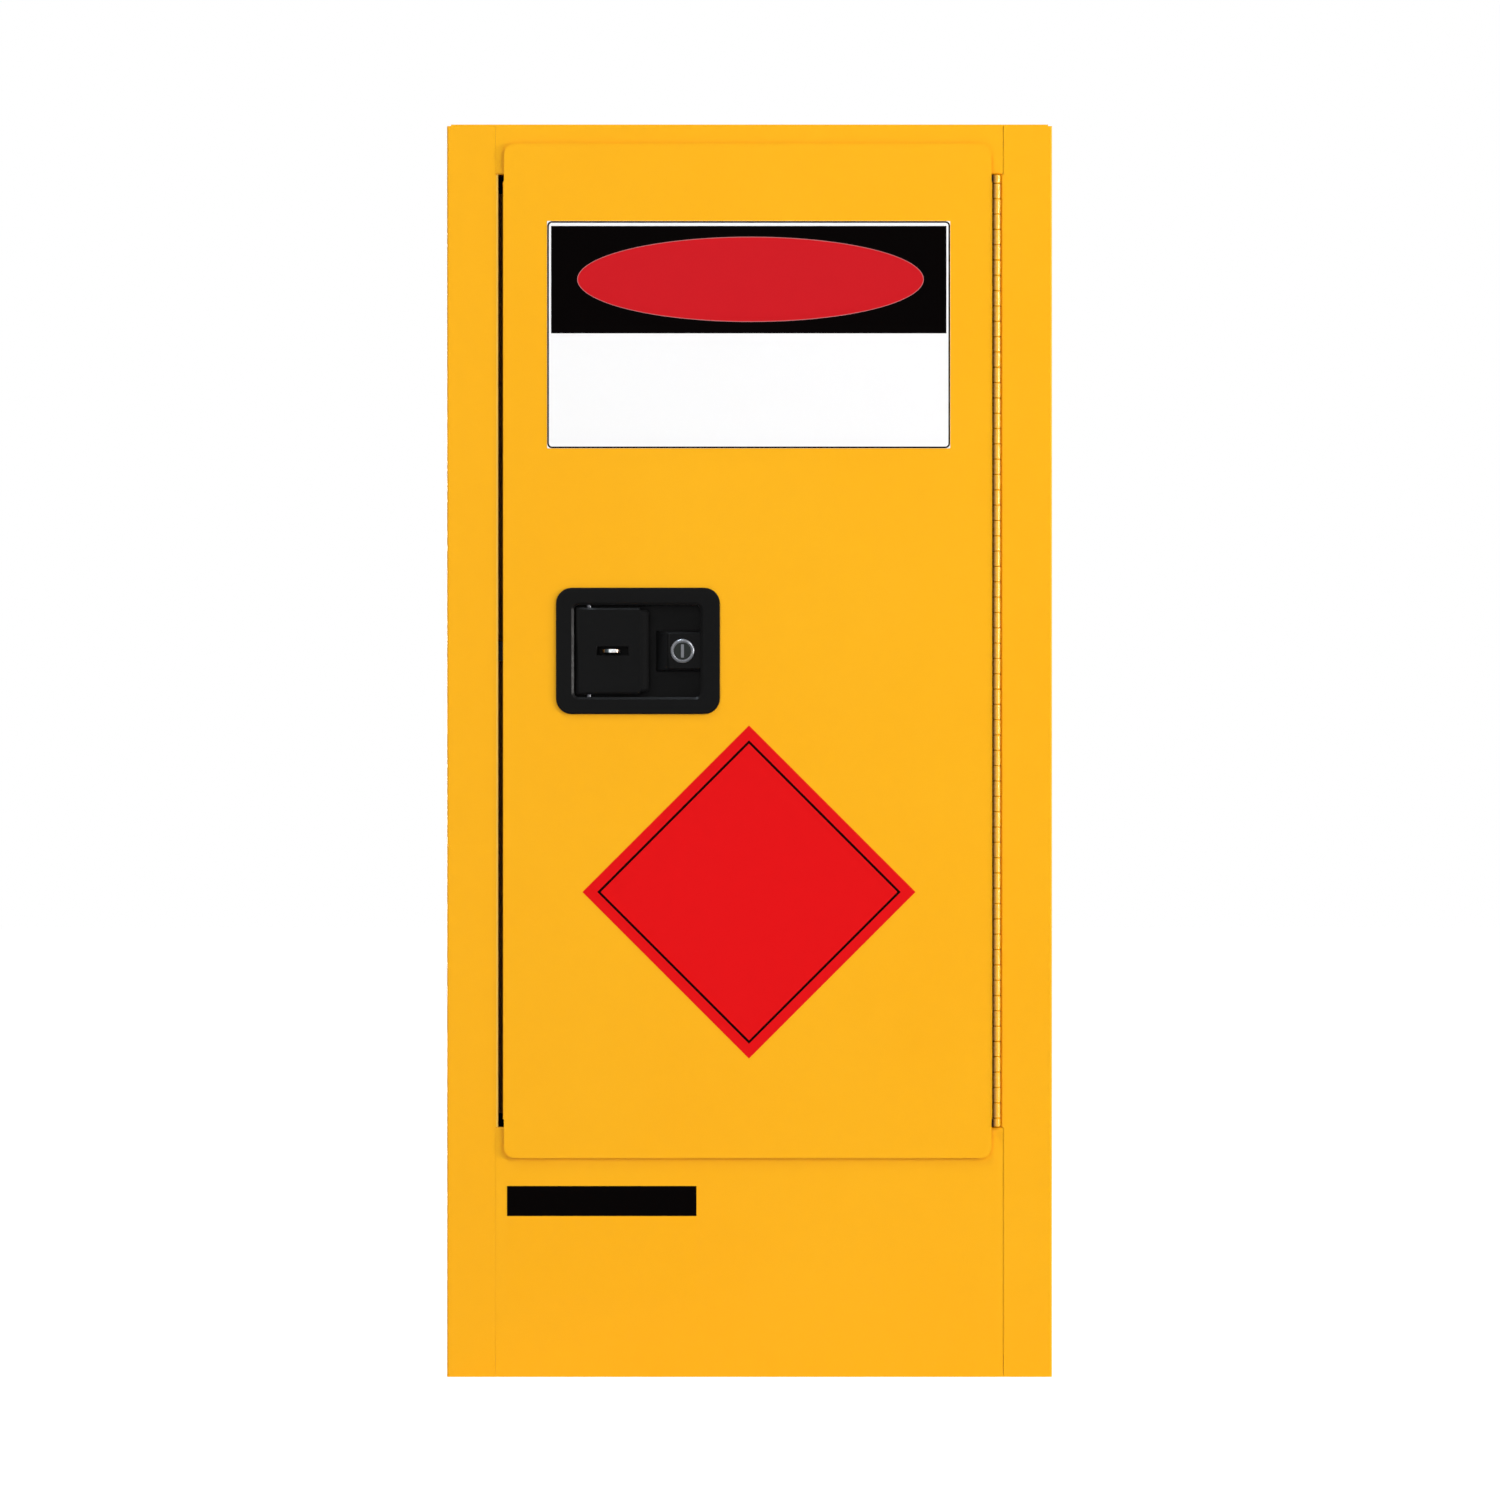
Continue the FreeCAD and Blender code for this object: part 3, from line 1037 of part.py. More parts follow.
# Rods: flat bars from the crank to the head and the sill, with ramped tips, and a strap guide for each.
PAN_INSIDE = f"({PAN_FACE} - sheet)"
rod_guides = []
for rod, foot_sign, tip, guide_level in (
    ("upper", "1", "height - head + 6.3", "latch_level + 300"),
    ("lower", "-1", "sill - 8.5", "latch_level - 300"),
):
    pin_level = f"({CRANK_PLACE[1]} + {foot_sign} * crank_reach * sin(crank_swing))"
    foot = f"{pin_level} - {foot_sign} * 8"
    middle = ROD_PLACES[rod]
    body = new_body(f"{rod}_rod")
    grow(
        body, "YZ", (f"{middle} - rod_width / 2", f"{middle} + rod_width / 2"),
        outline(
            (ROD_LEVEL[0], foot), (ROD_LEVEL[1], foot), (ROD_LEVEL[1], f"{tip} - {foot_sign} * 5"),
            (f"{ROD_LEVEL[0]} + 0.6", tip), (ROD_LEVEL[0], tip),
        ),
    )
    sink(
        body, "XZ", ROD_LEVEL,
        rect((f"{middle} - 4.5", f"{middle} + 4.5"), (f"{pin_level} - 3.3", f"{pin_level} + 3.3")),
    )
    tunnel_half, tunnel_floor = "(rod_width / 2 + rod_play)", f"{ROD_LEVEL[0]} - rod_play"
    guide_z = (f"{guide_level} - 10", f"{guide_level} + 10")
    tunnel_x = (f"{middle} - {tunnel_half}", f"{middle} + {tunnel_half}")
    web_x, brim_x = [(f"{tunnel_x[0]} - {more}", f"{tunnel_x[1]} + {more}") for more in ("sheet", "9")]
    web = box(web_x, (f"{tunnel_floor} - sheet", PAN_INSIDE), guide_z)
    rims = box(brim_x, (f"{PAN_INSIDE} - sheet", PAN_INSIDE), guide_z)
    tunnel_z = (f"{guide_z[0]} - 1", f"{guide_z[1]} + 1")
    tunnel = box(tunnel_x, (tunnel_floor, f"{PAN_INSIDE} + 1"), tunnel_z)
    rod_guides.append(without(union(web, rims), tunnel))
keep(group(*rod_guides), "rod_guides")

# Cylinder lock: a flanged barrel through the boss, a nut behind, a plug with a key slot in its wide head, and
# a cam on its tail.
PLUG_FACE = f"({BOSS_TOP} - 1.4)"
PLUG_BACK = f"({CRANK_LEVEL[1]})"
lock_flange = bar("Y", "lock_flange", (f"{BOSS_TOP} - 1.2", BOSS_TOP), LOCK_PLACE)
lock_barrel = bar("Y", "lock_barrel", (f"{BOSS_TOP} - 1", f"{PLUG_BACK} - 0.2"), LOCK_PLACE, sides=12)
plug_bore = bar("Y", "(lock_plug + running) / cos(15)", (f"{BOSS_TOP} - 2", PLUG_BACK), LOCK_PLACE, sides=12)
head_bore_y = (f"{BOSS_TOP} - 2", f"{BOSS_TOP} - 0.1")
head_bore = bar("Y", "(plug_head + running) / cos(7.5)", head_bore_y, LOCK_PLACE, sides=24)
keep(without(union(lock_flange, lock_barrel), plug_bore, head_bore), "lock_body")
lock_nut = bar("Y", "lock_hexagon", (PLATE_BACK, f"{PLATE_BACK} + 3.2"), LOCK_PLACE, sides=6)
lock_nut_bore = bar("Y", "lock_barrel", (f"{PLATE_BACK} - 1", f"{PLATE_BACK} + 5"), LOCK_PLACE, sides=12)
keep(without(lock_nut, lock_nut_bore), "lock_nut")
plug_shank = bar("Y", "lock_plug", (PLUG_FACE, PLUG_BACK), LOCK_PLACE)
plug_disc = bar("Y", "plug_head", (PLUG_FACE, f"{BOSS_TOP} - 0.2"), LOCK_PLACE)
TAIL = (("-lock_side - 3", "-lock_side + 3"), ("latch_level - 3", "latch_level + 3"))
plug_tail = box(TAIL[0], (f"{PLUG_BACK} - 1", f"{PLUG_BACK} + 2"), TAIL[1])
tail_screw = bar("Y", "tail_hexagon", (f"{PLUG_BACK} + 2", f"{PLUG_BACK} + 3.6"), LOCK_PLACE, sides=6)
key_slot = box(("-lock_side - 1.25", "-lock_side + 1.25"), (f"{BOSS_TOP} - 2", f"{BOSS_TOP} + 8"),
               ("latch_level - 5.5", "latch_level + 5.5"))
keep(without(union(plug_shank, plug_disc, plug_tail, tail_screw), key_slot), "lock_plug")
lock_cam = new_body("lock_cam")
grow(
    lock_cam, "XZ", (PLUG_BACK, f"{PLUG_BACK} + 2"),
    link(*LOCK_PLACE, "(-90)", "bolt_tail - lock_side - 1 - 5", "5"),
)
grow(lock_cam, "XZ", (PLUG_BACK, f"{PLUG_BACK} + 2"), polygon(*LOCK_PLACE, "6.5", 8))
sink(lock_cam, "XZ", (PLUG_BACK, f"{PLUG_BACK} + 2"), rect(*TAIL))

# Closer: a cylinder from the ceiling and a rod from the door, with both pivots on one circle about the hinge.
CLOSER_FRAME = ("(hinge_side - closer_frame_offset)",
                f"({HINGE_Y} + sqrt(closer_circle ^ 2 - closer_frame_offset ^ 2))")
CLOSER_DOOR = ("(hinge_side - sqrt(closer_circle ^ 2 - closer_door_offset ^ 2))",
               f"({HINGE_Y} + closer_door_offset)")
EYE_LOW, EYE_HIGH = "(closer_level - closer_eye)", "(closer_level + closer_eye)"
middle_line = ("0", "0")


def aim(thing, place, target, label):
    """Puts a piece made along +X from the origin at its pivot and points it at the other pivot."""
    angle = f"atan2({target[1]} - {place[1]}; {target[0]} - {place[0]})"
    bind(thing, Placement__Base__x=place[0], Placement__Base__y=place[1], Placement__Base__z="closer_level")
    thing.Placement.Rotation = FreeCAD.Rotation(FreeCAD.Vector(0, 0, 1), value(angle))
    bind(thing, Placement__Rotation__Angle=angle)
    return keep(thing, label)


def strut_eye(reach):
    """An eye on a pivot pin with the neck that joins it to the strut."""
    ring = bar("Z", "9", ("-closer_eye", "closer_eye"), middle_line, sides=16)
    neck = box(("0", reach), ("-5", "5"), ("-5", "5"))
    return union(ring, neck)


def pin_bore():
    """The hole through an eye for its pivot pin."""
    return bar("Z", "closer_pin + running", ("-closer_eye - 1", "closer_eye + 1"), middle_line)


tube = bar("X", "closer_tube", ("14", "tube_end"), middle_line)
tube_bore = bar("X", "closer_tube - 2", ("17", "tube_end - 5"), middle_line, sides=16)
gland = bar("X", "closer_rod + 0.6", ("tube_end - 6", "tube_end + 1"), middle_line, sides=12)
cylinder = without(union(tube, strut_eye("16")), tube_bore, gland, pin_bore())
aim(cylinder, CLOSER_FRAME, CLOSER_DOOR, "closer_cylinder")
shaft = bar("X", "closer_rod", ("8", "rod_end"), middle_line)
piston = bar("X", "closer_tube - 2.5", ("rod_end - 10", "rod_end"), middle_line, sides=16)
rod_body = without(union(shaft, piston, strut_eye("12")), pin_bore())
aim(rod_body, CLOSER_DOOR, CLOSER_FRAME, "closer_rod")

frame_plate = box((f"{CLOSER_FRAME[0]} - 25", f"{CLOSER_FRAME[0]} + 25"),
                  (f"{CLOSER_FRAME[1]} - 20", f"{CLOSER_FRAME[1]} + 20"), (f"{OPEN_TOP} - 3", OPEN_TOP))
frame_pin = bar("Z", "closer_pin", (f"{EYE_LOW} - 2", f"{OPEN_TOP} - 1"), CLOSER_FRAME)
keep(union(frame_plate, frame_pin), "closer_frame_bracket")
ledge_x = (f"{CLOSER_DOOR[0]} - 14", f"{CLOSER_DOOR[0]} + 14")
door_flange = box(ledge_x, (PAN_FACE, f"{PAN_FACE} + 2"), (f"{EYE_LOW} - 3.2", f"{EYE_LOW} + 30"))
door_ledge = box(ledge_x, (PAN_FACE, f"{CLOSER_DOOR[1]} + 7"), (f"{EYE_LOW} - 3.2", f"{EYE_LOW} - 0.2"))
door_pin = bar("Z", "closer_pin", (f"{EYE_LOW} - 2", f"{EYE_HIGH} + 2"), CLOSER_DOOR)
keep(union(door_flange, door_ledge, door_pin), "closer_door_bracket")

# Every object must be sound before anything is written.
doc.recompute()
failed = [thing.Name for thing in doc.Objects if {"Invalid", "Error"} & set(thing.State)]
broken = [node.Label for node in nodes if node.Shape.isNull() or not node.Shape.isValid()]
if failed or broken:
    raise ValueError(f"failed: {failed}, broken: {broken}")
os.makedirs("parts", exist_ok=True)
for node in nodes:
    node.Shape.exportStep(f"parts/{node.Label}.step")
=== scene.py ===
import math

import bmesh
import bpy
import numpy as np
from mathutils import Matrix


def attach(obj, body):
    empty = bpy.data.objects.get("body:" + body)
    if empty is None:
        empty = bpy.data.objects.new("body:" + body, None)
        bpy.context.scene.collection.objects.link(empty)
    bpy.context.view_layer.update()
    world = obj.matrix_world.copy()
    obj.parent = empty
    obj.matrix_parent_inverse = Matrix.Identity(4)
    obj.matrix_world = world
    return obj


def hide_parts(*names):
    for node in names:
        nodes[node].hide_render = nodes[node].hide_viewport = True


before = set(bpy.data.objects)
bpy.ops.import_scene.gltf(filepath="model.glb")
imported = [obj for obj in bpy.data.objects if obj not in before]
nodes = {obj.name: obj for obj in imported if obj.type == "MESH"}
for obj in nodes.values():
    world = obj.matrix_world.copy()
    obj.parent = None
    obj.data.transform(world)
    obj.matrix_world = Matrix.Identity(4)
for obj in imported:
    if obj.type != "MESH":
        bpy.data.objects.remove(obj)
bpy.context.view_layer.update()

# Studio. The camera stands straight in front, far off behind a long lens, so the sheet metal's edges stay
# parallel as they are in the photograph. One pixel of the 1500-pixel frame is PIXEL metres at the cabinet's
# front, and the floor meets the front at FLOOR_ROW.
scene = bpy.context.scene
scene.view_settings.view_transform = "Standard"
FRONT = -0.2775
PIXEL = 0.0008264
FRAME_PIXELS = 1500
CENTRE_COLUMN, FLOOR_ROW = 749.5, 1377
CAMERA_DISTANCE = 16.0


def place(column, row):
    """The X and Z of a pixel of the photograph on the cabinet's front."""
    return (column - CENTRE_COLUMN) * PIXEL, (FLOOR_ROW - row) * PIXEL


camera_data = bpy.data.cameras.new("front_camera")
camera_data.lens = camera_data.sensor_width * CAMERA_DISTANCE / (FRAME_PIXELS * PIXEL)
camera_data.clip_end = 100.0
camera = bpy.data.objects.new("front_camera", camera_data)
middle_x, middle_z = place(FRAME_PIXELS / 2, FRAME_PIXELS / 2)
camera.location = (middle_x, FRONT - CAMERA_DISTANCE, middle_z)
camera.rotation_euler = (math.pi / 2, 0.0, 0.0)
scene.collection.objects.link(camera)
scene.camera = camera

# Lamps, each with its place, what it points at, its size, power and tone: a broad softbox in front, a far key
# on the upper right, and two small bright ones, well to the side, that the bevels mirror. A low one behind
# lights the back. The world fills in from all round, and shows plain white to the eye and in metal.
LAMPS = {
    "front_softbox": ((-2.4, -5.8, 1.3), (0.0, 0.0, 0.5), 4.0, 52.0, (1.0, 1.0, 1.0)),
    "key_softbox": ((8.6, -8.2, 8.0), (0.0, 0.0, 0.5), 4.0, 650.0, (1.0, 1.0, 1.0)),
    "side_lamp": ((5.5, -2.2, 1.0), (0.0, -0.2, 0.6), 1.0, 160.0, (1.0, 0.98, 0.95)),
    "top_lamp": ((-1.4, -2.1, 5.9), (0.0, -0.2, 0.6), 1.0, 120.0, (0.78, 0.89, 1.0)),
    "rear_softbox": ((-2.6, 6.0, 0.5), (0.0, 0.0, 0.5), 1.0, 230.0, (1.0, 1.0, 1.0)),
}
for name, (position, target, size, power, tone) in LAMPS.items():
    lamp_data = bpy.data.lights.new(name, "AREA")
    lamp_data.shape = "SQUARE"
    lamp_data.size = size
    lamp_data.energy = power
    lamp_data.color = tone
    lamp = bpy.data.objects.new(name, lamp_data)
    toward = np.array(target) - np.array(position)
    lamp.location = position
    lamp.rotation_euler = (
        math.acos(-toward[2] / np.linalg.norm(toward)), 0.0, math.atan2(-toward[0], toward[1])
    )
    lamp.visible_camera = False
    scene.collection.objects.link(lamp)

FILL_LIGHT = 0.24
WHITE = (1.0, 1.0, 1.0, 1.0)
world = bpy.data.worlds.new("studio")
scene.world = world
world.use_nodes = True
tree = world.node_tree
tree.nodes.clear()
rays = tree.nodes.new("ShaderNodeLightPath")
seen_or_mirrored = tree.nodes.new("ShaderNodeMath")
seen_or_mirrored.operation = "MAXIMUM"
plain_white = tree.nodes.new("ShaderNodeMath")
plain_white.operation = "MAXIMUM"
fill = tree.nodes.new("ShaderNodeBackground")
fill.inputs["Color"].default_value = WHITE
fill.inputs["Strength"].default_value = FILL_LIGHT
white = tree.nodes.new("ShaderNodeBackground")
white.inputs["Color"].default_value = WHITE
mixed = tree.nodes.new("ShaderNodeMixShader")
output = tree.nodes.new("ShaderNodeOutputWorld")
tree.links.new(rays.outputs["Is Camera Ray"], seen_or_mirrored.inputs[0])
tree.links.new(rays.outputs["Is Glossy Ray"], seen_or_mirrored.inputs[1])
tree.links.new(seen_or_mirrored.outputs[0], plain_white.inputs[0])
tree.links.new(rays.outputs["Is Transmission Ray"], plain_white.inputs[1])
tree.links.new(plain_white.outputs[0], mixed.inputs["Fac"])
tree.links.new(fill.outputs[0], mixed.inputs[1])
tree.links.new(white.outputs[0], mixed.inputs[2])
tree.links.new(mixed.outputs[0], output.inputs["Surface"])

# Floor: a plain pale sheet under the base, which belongs to the studio. To the eye it is lifted to white, so
# that only the cabinet's own shadow shows on it.
FLOOR_HALF = 40.0
FLOOR_GREY = 0.8
JUST_OVER_WHITE = 1.01
FLOOR_LIFT = JUST_OVER_WHITE - FLOOR_GREY * FILL_LIGHT
floor_mesh = bpy.data.meshes.new("floor")
floor_mesh.from_pydata(
    [(-FLOOR_HALF, -FLOOR_HALF, 0.0), (FLOOR_HALF, -FLOOR_HALF, 0.0),
     (FLOOR_HALF, FLOOR_HALF, 0.0), (-FLOOR_HALF, FLOOR_HALF, 0.0)],
    [], [(0, 1, 2, 3)],
)
floor = bpy.data.objects.new("floor", floor_mesh)
scene.collection.objects.link(floor)
floor_paint = bpy.data.materials.new("floor_paint")
floor_paint.use_nodes = True
tree = floor_paint.node_tree
tree.nodes.clear()
matt = tree.nodes.new("ShaderNodeBsdfDiffuse")
matt.inputs["Color"].default_value = (FLOOR_GREY, FLOOR_GREY, FLOOR_GREY, 1.0)
lift = tree.nodes.new("ShaderNodeEmission")
rays = tree.nodes.new("ShaderNodeLightPath")
amount = tree.nodes.new("ShaderNodeMath")
amount.operation = "MULTIPLY"
amount.inputs[1].default_value = FLOOR_LIFT
both = tree.nodes.new("ShaderNodeAddShader")
output = tree.nodes.new("ShaderNodeOutputMaterial")
tree.links.new(rays.outputs["Is Camera Ray"], amount.inputs[0])
tree.links.new(amount.outputs[0], lift.inputs["Strength"])
tree.links.new(matt.outputs[0], both.inputs[0])
tree.links.new(lift.outputs[0], both.inputs[1])
tree.links.new(both.outputs[0], output.inputs["Surface"])
floor_mesh.materials.append(floor_paint)

# Carcass: folded 1.2 mm steel, welded and then sprayed as a whole, inside and out, with a smooth yellow
# powder coat. Its skin has a fine orange peel, and its gloss drifts a little from place to place.
NOISE_SPAN = (0.3, 0.7)


def colour(red, green, blue):
    """A colour as a screen shows it, from 0 to 255, turned by the screen's own curve into the linear light
    that a shader takes."""
    shown = np.array([red, green, blue]) / 255.0
    return (*np.where(shown <= 0.04045, shown / 12.92, ((shown + 0.055) / 1.055) ** 2.4), 1.0)


def new_finish(name, base, roughness, metallic=0.0, specular=0.5):
    """A material with one Principled shader, its node tree and that shader."""
    material = bpy.data.materials.new(name)
    material.use_nodes = True
    shader = material.node_tree.nodes["Principled BSDF"]
    shader.inputs["Base Color"].default_value = base
    shader.inputs["Roughness"].default_value = roughness
    shader.inputs["Metallic"].default_value = metallic
    shader.inputs["Specular IOR Level"].default_value = specular
    return material, material.node_tree, shader


def noise(tree, scale, detail=2.0, stretch=(1.0, 1.0, 1.0)):
    """Noise on the piece's own coordinates, in metres, drawn out along an axis where stretch is under 1."""
    coordinates = tree.nodes.new("ShaderNodeTexCoord")
    mapping = tree.nodes.new("ShaderNodeMapping")
    mapping.inputs["Scale"].default_value = stretch
    texture = tree.nodes.new("ShaderNodeTexNoise")
    texture.inputs["Scale"].default_value = scale
    texture.inputs["Detail"].default_value = detail
    tree.links.new(coordinates.outputs["Object"], mapping.inputs["Vector"])
    tree.links.new(mapping.outputs["Vector"], texture.inputs["Vector"])
    return texture.outputs["Fac"]


def spread(tree, source, low, high, socket):
    """Sends a pattern to a socket as a number, from low to high over the span that noise mostly keeps."""
    ranged = tree.nodes.new("ShaderNodeMapRange")
    ranged.inputs["From Min"].default_value, ranged.inputs["From Max"].default_value = NOISE_SPAN
    ranged.inputs["To Min"].default_value = low
    ranged.inputs["To Max"].default_value = high
    tree.links.new(source, ranged.inputs["Value"])
    tree.links.new(ranged.outputs["Result"], socket)


def tint(tree, source, first, second, socket):
    """Sends a pattern to a socket as a mix of two colours over the same span."""
    ramp = tree.nodes.new("ShaderNodeValToRGB")
    for end, limit, shown in zip(ramp.color_ramp.elements, NOISE_SPAN, (first, second)):
        end.position = limit
        end.color = shown
    tree.links.new(source, ramp.inputs["Fac"])
    tree.links.new(ramp.outputs["Color"], socket)


def relief(tree, source, height, shader):
    """Bumps the surface by a 0-to-1 value times height, in metres."""
    bump = tree.nodes.new("ShaderNodeBump")
    bump.inputs["Strength"].default_value = 1.0
    bump.inputs["Distance"].default_value = height
    tree.links.new(source, bump.inputs["Height"])
    tree.links.new(bump.outputs["Normal"], shader.inputs["Normal"])


def uneven_finish(name, base, roughness, scale, metallic=0.0, specular=0.5, stretch=(1.0, 1.0, 1.0)):
    """A finish whose roughness wanders between two values, by noise of that scale."""
    finish, tree, shader = new_finish(name, base, sum(roughness) / 2, metallic, specular)
    spread(tree, noise(tree, scale, stretch=stretch), *roughness, shader.inputs["Roughness"])
    return finish, tree, shader


COAT_ROUGHNESS, COAT_SHEEN, GLOSS_DRIFT = (0.32, 0.42), 0.22, 24.0
PEEL_SCALE, PEEL_HEIGHT = 520.0, 0.00004
YELLOW = colour(255, 183, 40)
DEEP_YELLOW, PALER_YELLOW, YELLOW_DRIFT = colour(255, 180, 9), colour(255, 183, 14), 5.0


def sprayed(name):
    """The powder coat without its colour: gloss that drifts slowly, and the fine bumps of orange peel."""
    finish, tree, shader = uneven_finish(name, YELLOW, COAT_ROUGHNESS, GLOSS_DRIFT, specular=COAT_SHEEN)
    relief(tree, noise(tree, PEEL_SCALE, 1.0), PEEL_HEIGHT, shader)
    return finish, tree, shader


def dress(finish, *names):
    """Gives CAD nodes a finish."""
    for name in names:
        nodes[name].data.materials.clear()
        nodes[name].data.materials.append(finish)


powder_coat, tree, shader = sprayed("yellow_powder_coat")
tint(tree, noise(tree, YELLOW_DRIFT, 3.0), DEEP_YELLOW, PALER_YELLOW, shader.inputs["Base Color"])
dress(
    powder_coat, "base_panel", "left_base_rail", "right_base_rail", "right_side_panel",
    "top_panel", "back_panel", "head_panel", "lower_front_panel", "left_liner", "right_liner", "back_liner",
    "ceiling_liner", "sump_tray", "sump_ledges", "door_skin", "door_inner_pan", "left_front_upright",
    "left_rear_upright", "right_front_upright", "right_rear_upright",
)

# Left post: the left side panel is folded round the front, as a post beside the door. The bend at the post's
# free edge is painted paler, as a painted highlight along it.
POST_EDGE, BEND = -0.2077, 0.0016
COAT, PAINTED_HIGHLIGHT_PALE = colour(255, 181, 11), colour(255, 214, 96)


def stripes(tree, x_limits, stops):
    """A colour that changes along the piece's X. Each stop is a share of the way between the limits, and the
    colour there."""
    coordinates = tree.nodes.new("ShaderNodeTexCoord")
    parted = tree.nodes.new("ShaderNodeSeparateXYZ")
    share = tree.nodes.new("ShaderNodeMapRange")
    share.inputs["From Min"].default_value, share.inputs["From Max"].default_value = x_limits
    ramp = tree.nodes.new("ShaderNodeValToRGB")
    for place_on_ramp, shown in stops[1:-1]:
        ramp.color_ramp.elements.new(place_on_ramp).color = shown
    ramp.color_ramp.elements[0].color, ramp.color_ramp.elements[-1].color = stops[0][1], stops[-1][1]
    tree.links.new(coordinates.outputs["Object"], parted.inputs["Vector"])
    tree.links.new(parted.outputs["X"], share.inputs["Value"])
    tree.links.new(share.outputs["Result"], ramp.inputs["Fac"])
    return ramp.outputs["Color"]


post_coat_painted_highlight, tree, shader = sprayed("post_coat_painted_highlight")
# Painted highlight: the coat's colour turns pale over the bend at the post's free edge.
painted_bend_highlight = stripes(
    tree, (POST_EDGE - 2 * BEND, POST_EDGE), ((0.0, COAT), (0.5, COAT), (0.62, PAINTED_HIGHLIGHT_PALE), (1.0, PAINTED_HIGHLIGHT_PALE))
)
tree.links.new(painted_bend_highlight, shader.inputs["Base Color"])
dress(post_coat_painted_highlight, "left_side_panel")

# Shelf, shelf clips, sump grating and vent ducts: cut and folded from galvanised sheet, so they show the
# spangle of a hot-dip zinc coat, in flakes about 9 mm across.
GALVANISED, DARK_FLAKE, PALE_FLAKE = (0.55, 0.56, 0.57, 1.0), (0.48, 0.49, 0.51, 1.0), (0.64, 0.65, 0.66, 1.0)
FLAKES_PER_METRE = 110.0
galvanised, tree, shader = new_finish("galvanised_sheet", GALVANISED, 0.42, metallic=1.0)
coordinates = tree.nodes.new("ShaderNodeTexCoord")
spangle = tree.nodes.new("ShaderNodeTexVoronoi")
spangle.inputs["Scale"].default_value = FLAKES_PER_METRE
tree.links.new(coordinates.outputs["Object"], spangle.inputs["Vector"])
flakes = tree.nodes.new("ShaderNodeSeparateColor")
tree.links.new(spangle.outputs["Color"], flakes.inputs["Color"])
tint(tree, flakes.outputs["Red"], DARK_FLAKE, PALE_FLAKE, shader.inputs["Base Color"])
spread(tree, flakes.outputs["Green"], 0.34, 0.5, shader.inputs["Roughness"])
dress(galvanised, "sump_grate", "adjustable_shelf", "shelf_clips", "vent_ducts")

# Flame screens: fine woven stainless wire, held in the inner ends of the two vent ducts. The weave is too
# fine to be drawn wire by wire, so it is a pattern of small checks, a little over 1 mm wide. The checks
# between the wires are near-black, as painted shade seen through the holes.
SCREEN_WIRE, SCREEN_HOLE_SHADE, BRIGHT_WIRE = (0.3, 0.3, 0.31, 1.0), (0.02, 0.02, 0.02, 1.0), (0.5, 0.5, 0.52, 1.0)
WEAVE = (0.0, 900.0, 900.0)
screen_wire, tree, shader = new_finish("screen_wire", SCREEN_WIRE, 0.4, metallic=1.0)
coordinates = tree.nodes.new("ShaderNodeTexCoord")
mapping = tree.nodes.new("ShaderNodeMapping")
mapping.inputs["Scale"].default_value = WEAVE
checks = tree.nodes.new("ShaderNodeTexChecker")
checks.inputs["Scale"].default_value = 1.0
tree.links.new(coordinates.outputs["Object"], mapping.inputs["Vector"])
tree.links.new(mapping.outputs["Vector"], checks.inputs["Vector"])
# Painted shade: the holes in the weave are near-black.
tint(tree, checks.outputs["Fac"], SCREEN_HOLE_SHADE, BRIGHT_WIRE, shader.inputs["Base Color"])
dress(screen_wire, "flame_screens")

# Latch works and closer brackets: plates, rods, guides and keepers of bright zinc-plated steel, which shows
# the grain of the sheet. The bolt is near-black instead, as painted shade, because it shows in the gap beside
# the door.
ZINC, DULL_ZINC, BRIGHT_ZINC = (0.6, 0.61, 0.63, 1.0), (0.52, 0.53, 0.55, 1.0), (0.68, 0.68, 0.69, 1.0)
SHEET_GRAIN = (0.1, 1.0, 1.0)
zinc, tree, shader = uneven_finish("zinc_plate", ZINC, (0.24, 0.38), 400.0, metallic=1.0, stretch=SHEET_GRAIN)
tint(tree, noise(tree, 60.0, 3.0), DULL_ZINC, BRIGHT_ZINC, shader.inputs["Base Color"])
dress(
    zinc, "bolt_keeper", "rod_keepers", "latch_back_plate", "latch_screws", "bolt_guide",
    "crank_plate", "crank_stud", "upper_rod", "lower_rod", "rod_guides", "lock_cam", "lock_nut",
    "closer_frame_bracket", "closer_door_bracket",
)
# Painted shade: the bolt is coloured near-black so that the gap it shows in stays dark.
BOLT_SHADE_BLACK = (0.02, 0.02, 0.022, 1.0)
bolt_painted_shade, tree, shader = uneven_finish("bolt_painted_shade", BOLT_SHADE_BLACK, (0.42, 0.6), 500.0, specular=0.3)
dress(bolt_painted_shade, "latch_bolt")

# Notice on the door: a square-cornered sheet of white vinyl, stuck flat on the skin. Printed on it are a thin
# black frame with round corners, a black header, and a red oval with a pale rim. It is bare below.
DOOR_FACE = -0.2801
CORNER_POINTS, OVAL_POINTS = 8, 96
CRISP = math.radians(35.0)
VINYL, INK = 0.0002, 0.00004
NOTICE_CORNERS = ((547.1, 221.1), (950.2, 448.4))
HEADER_CORNERS = ((551.1, 226.0), (946.4, 333.4))
FRAME_GAP, FRAME_WIDTH, FRAME_ROUND = 0.0001, 0.0014, 0.004
OVAL_PLACE, OVAL_HALF_WIDTH, OVAL_HALF_HEIGHT, OVAL_RIM = (750.5, 279.4), 0.1432, 0.0352, 0.0005


def inset(limits, amount):
    """Limits drawn in by amount, or let out where it is negative."""
    return limits[0] + amount, limits[1] - amount


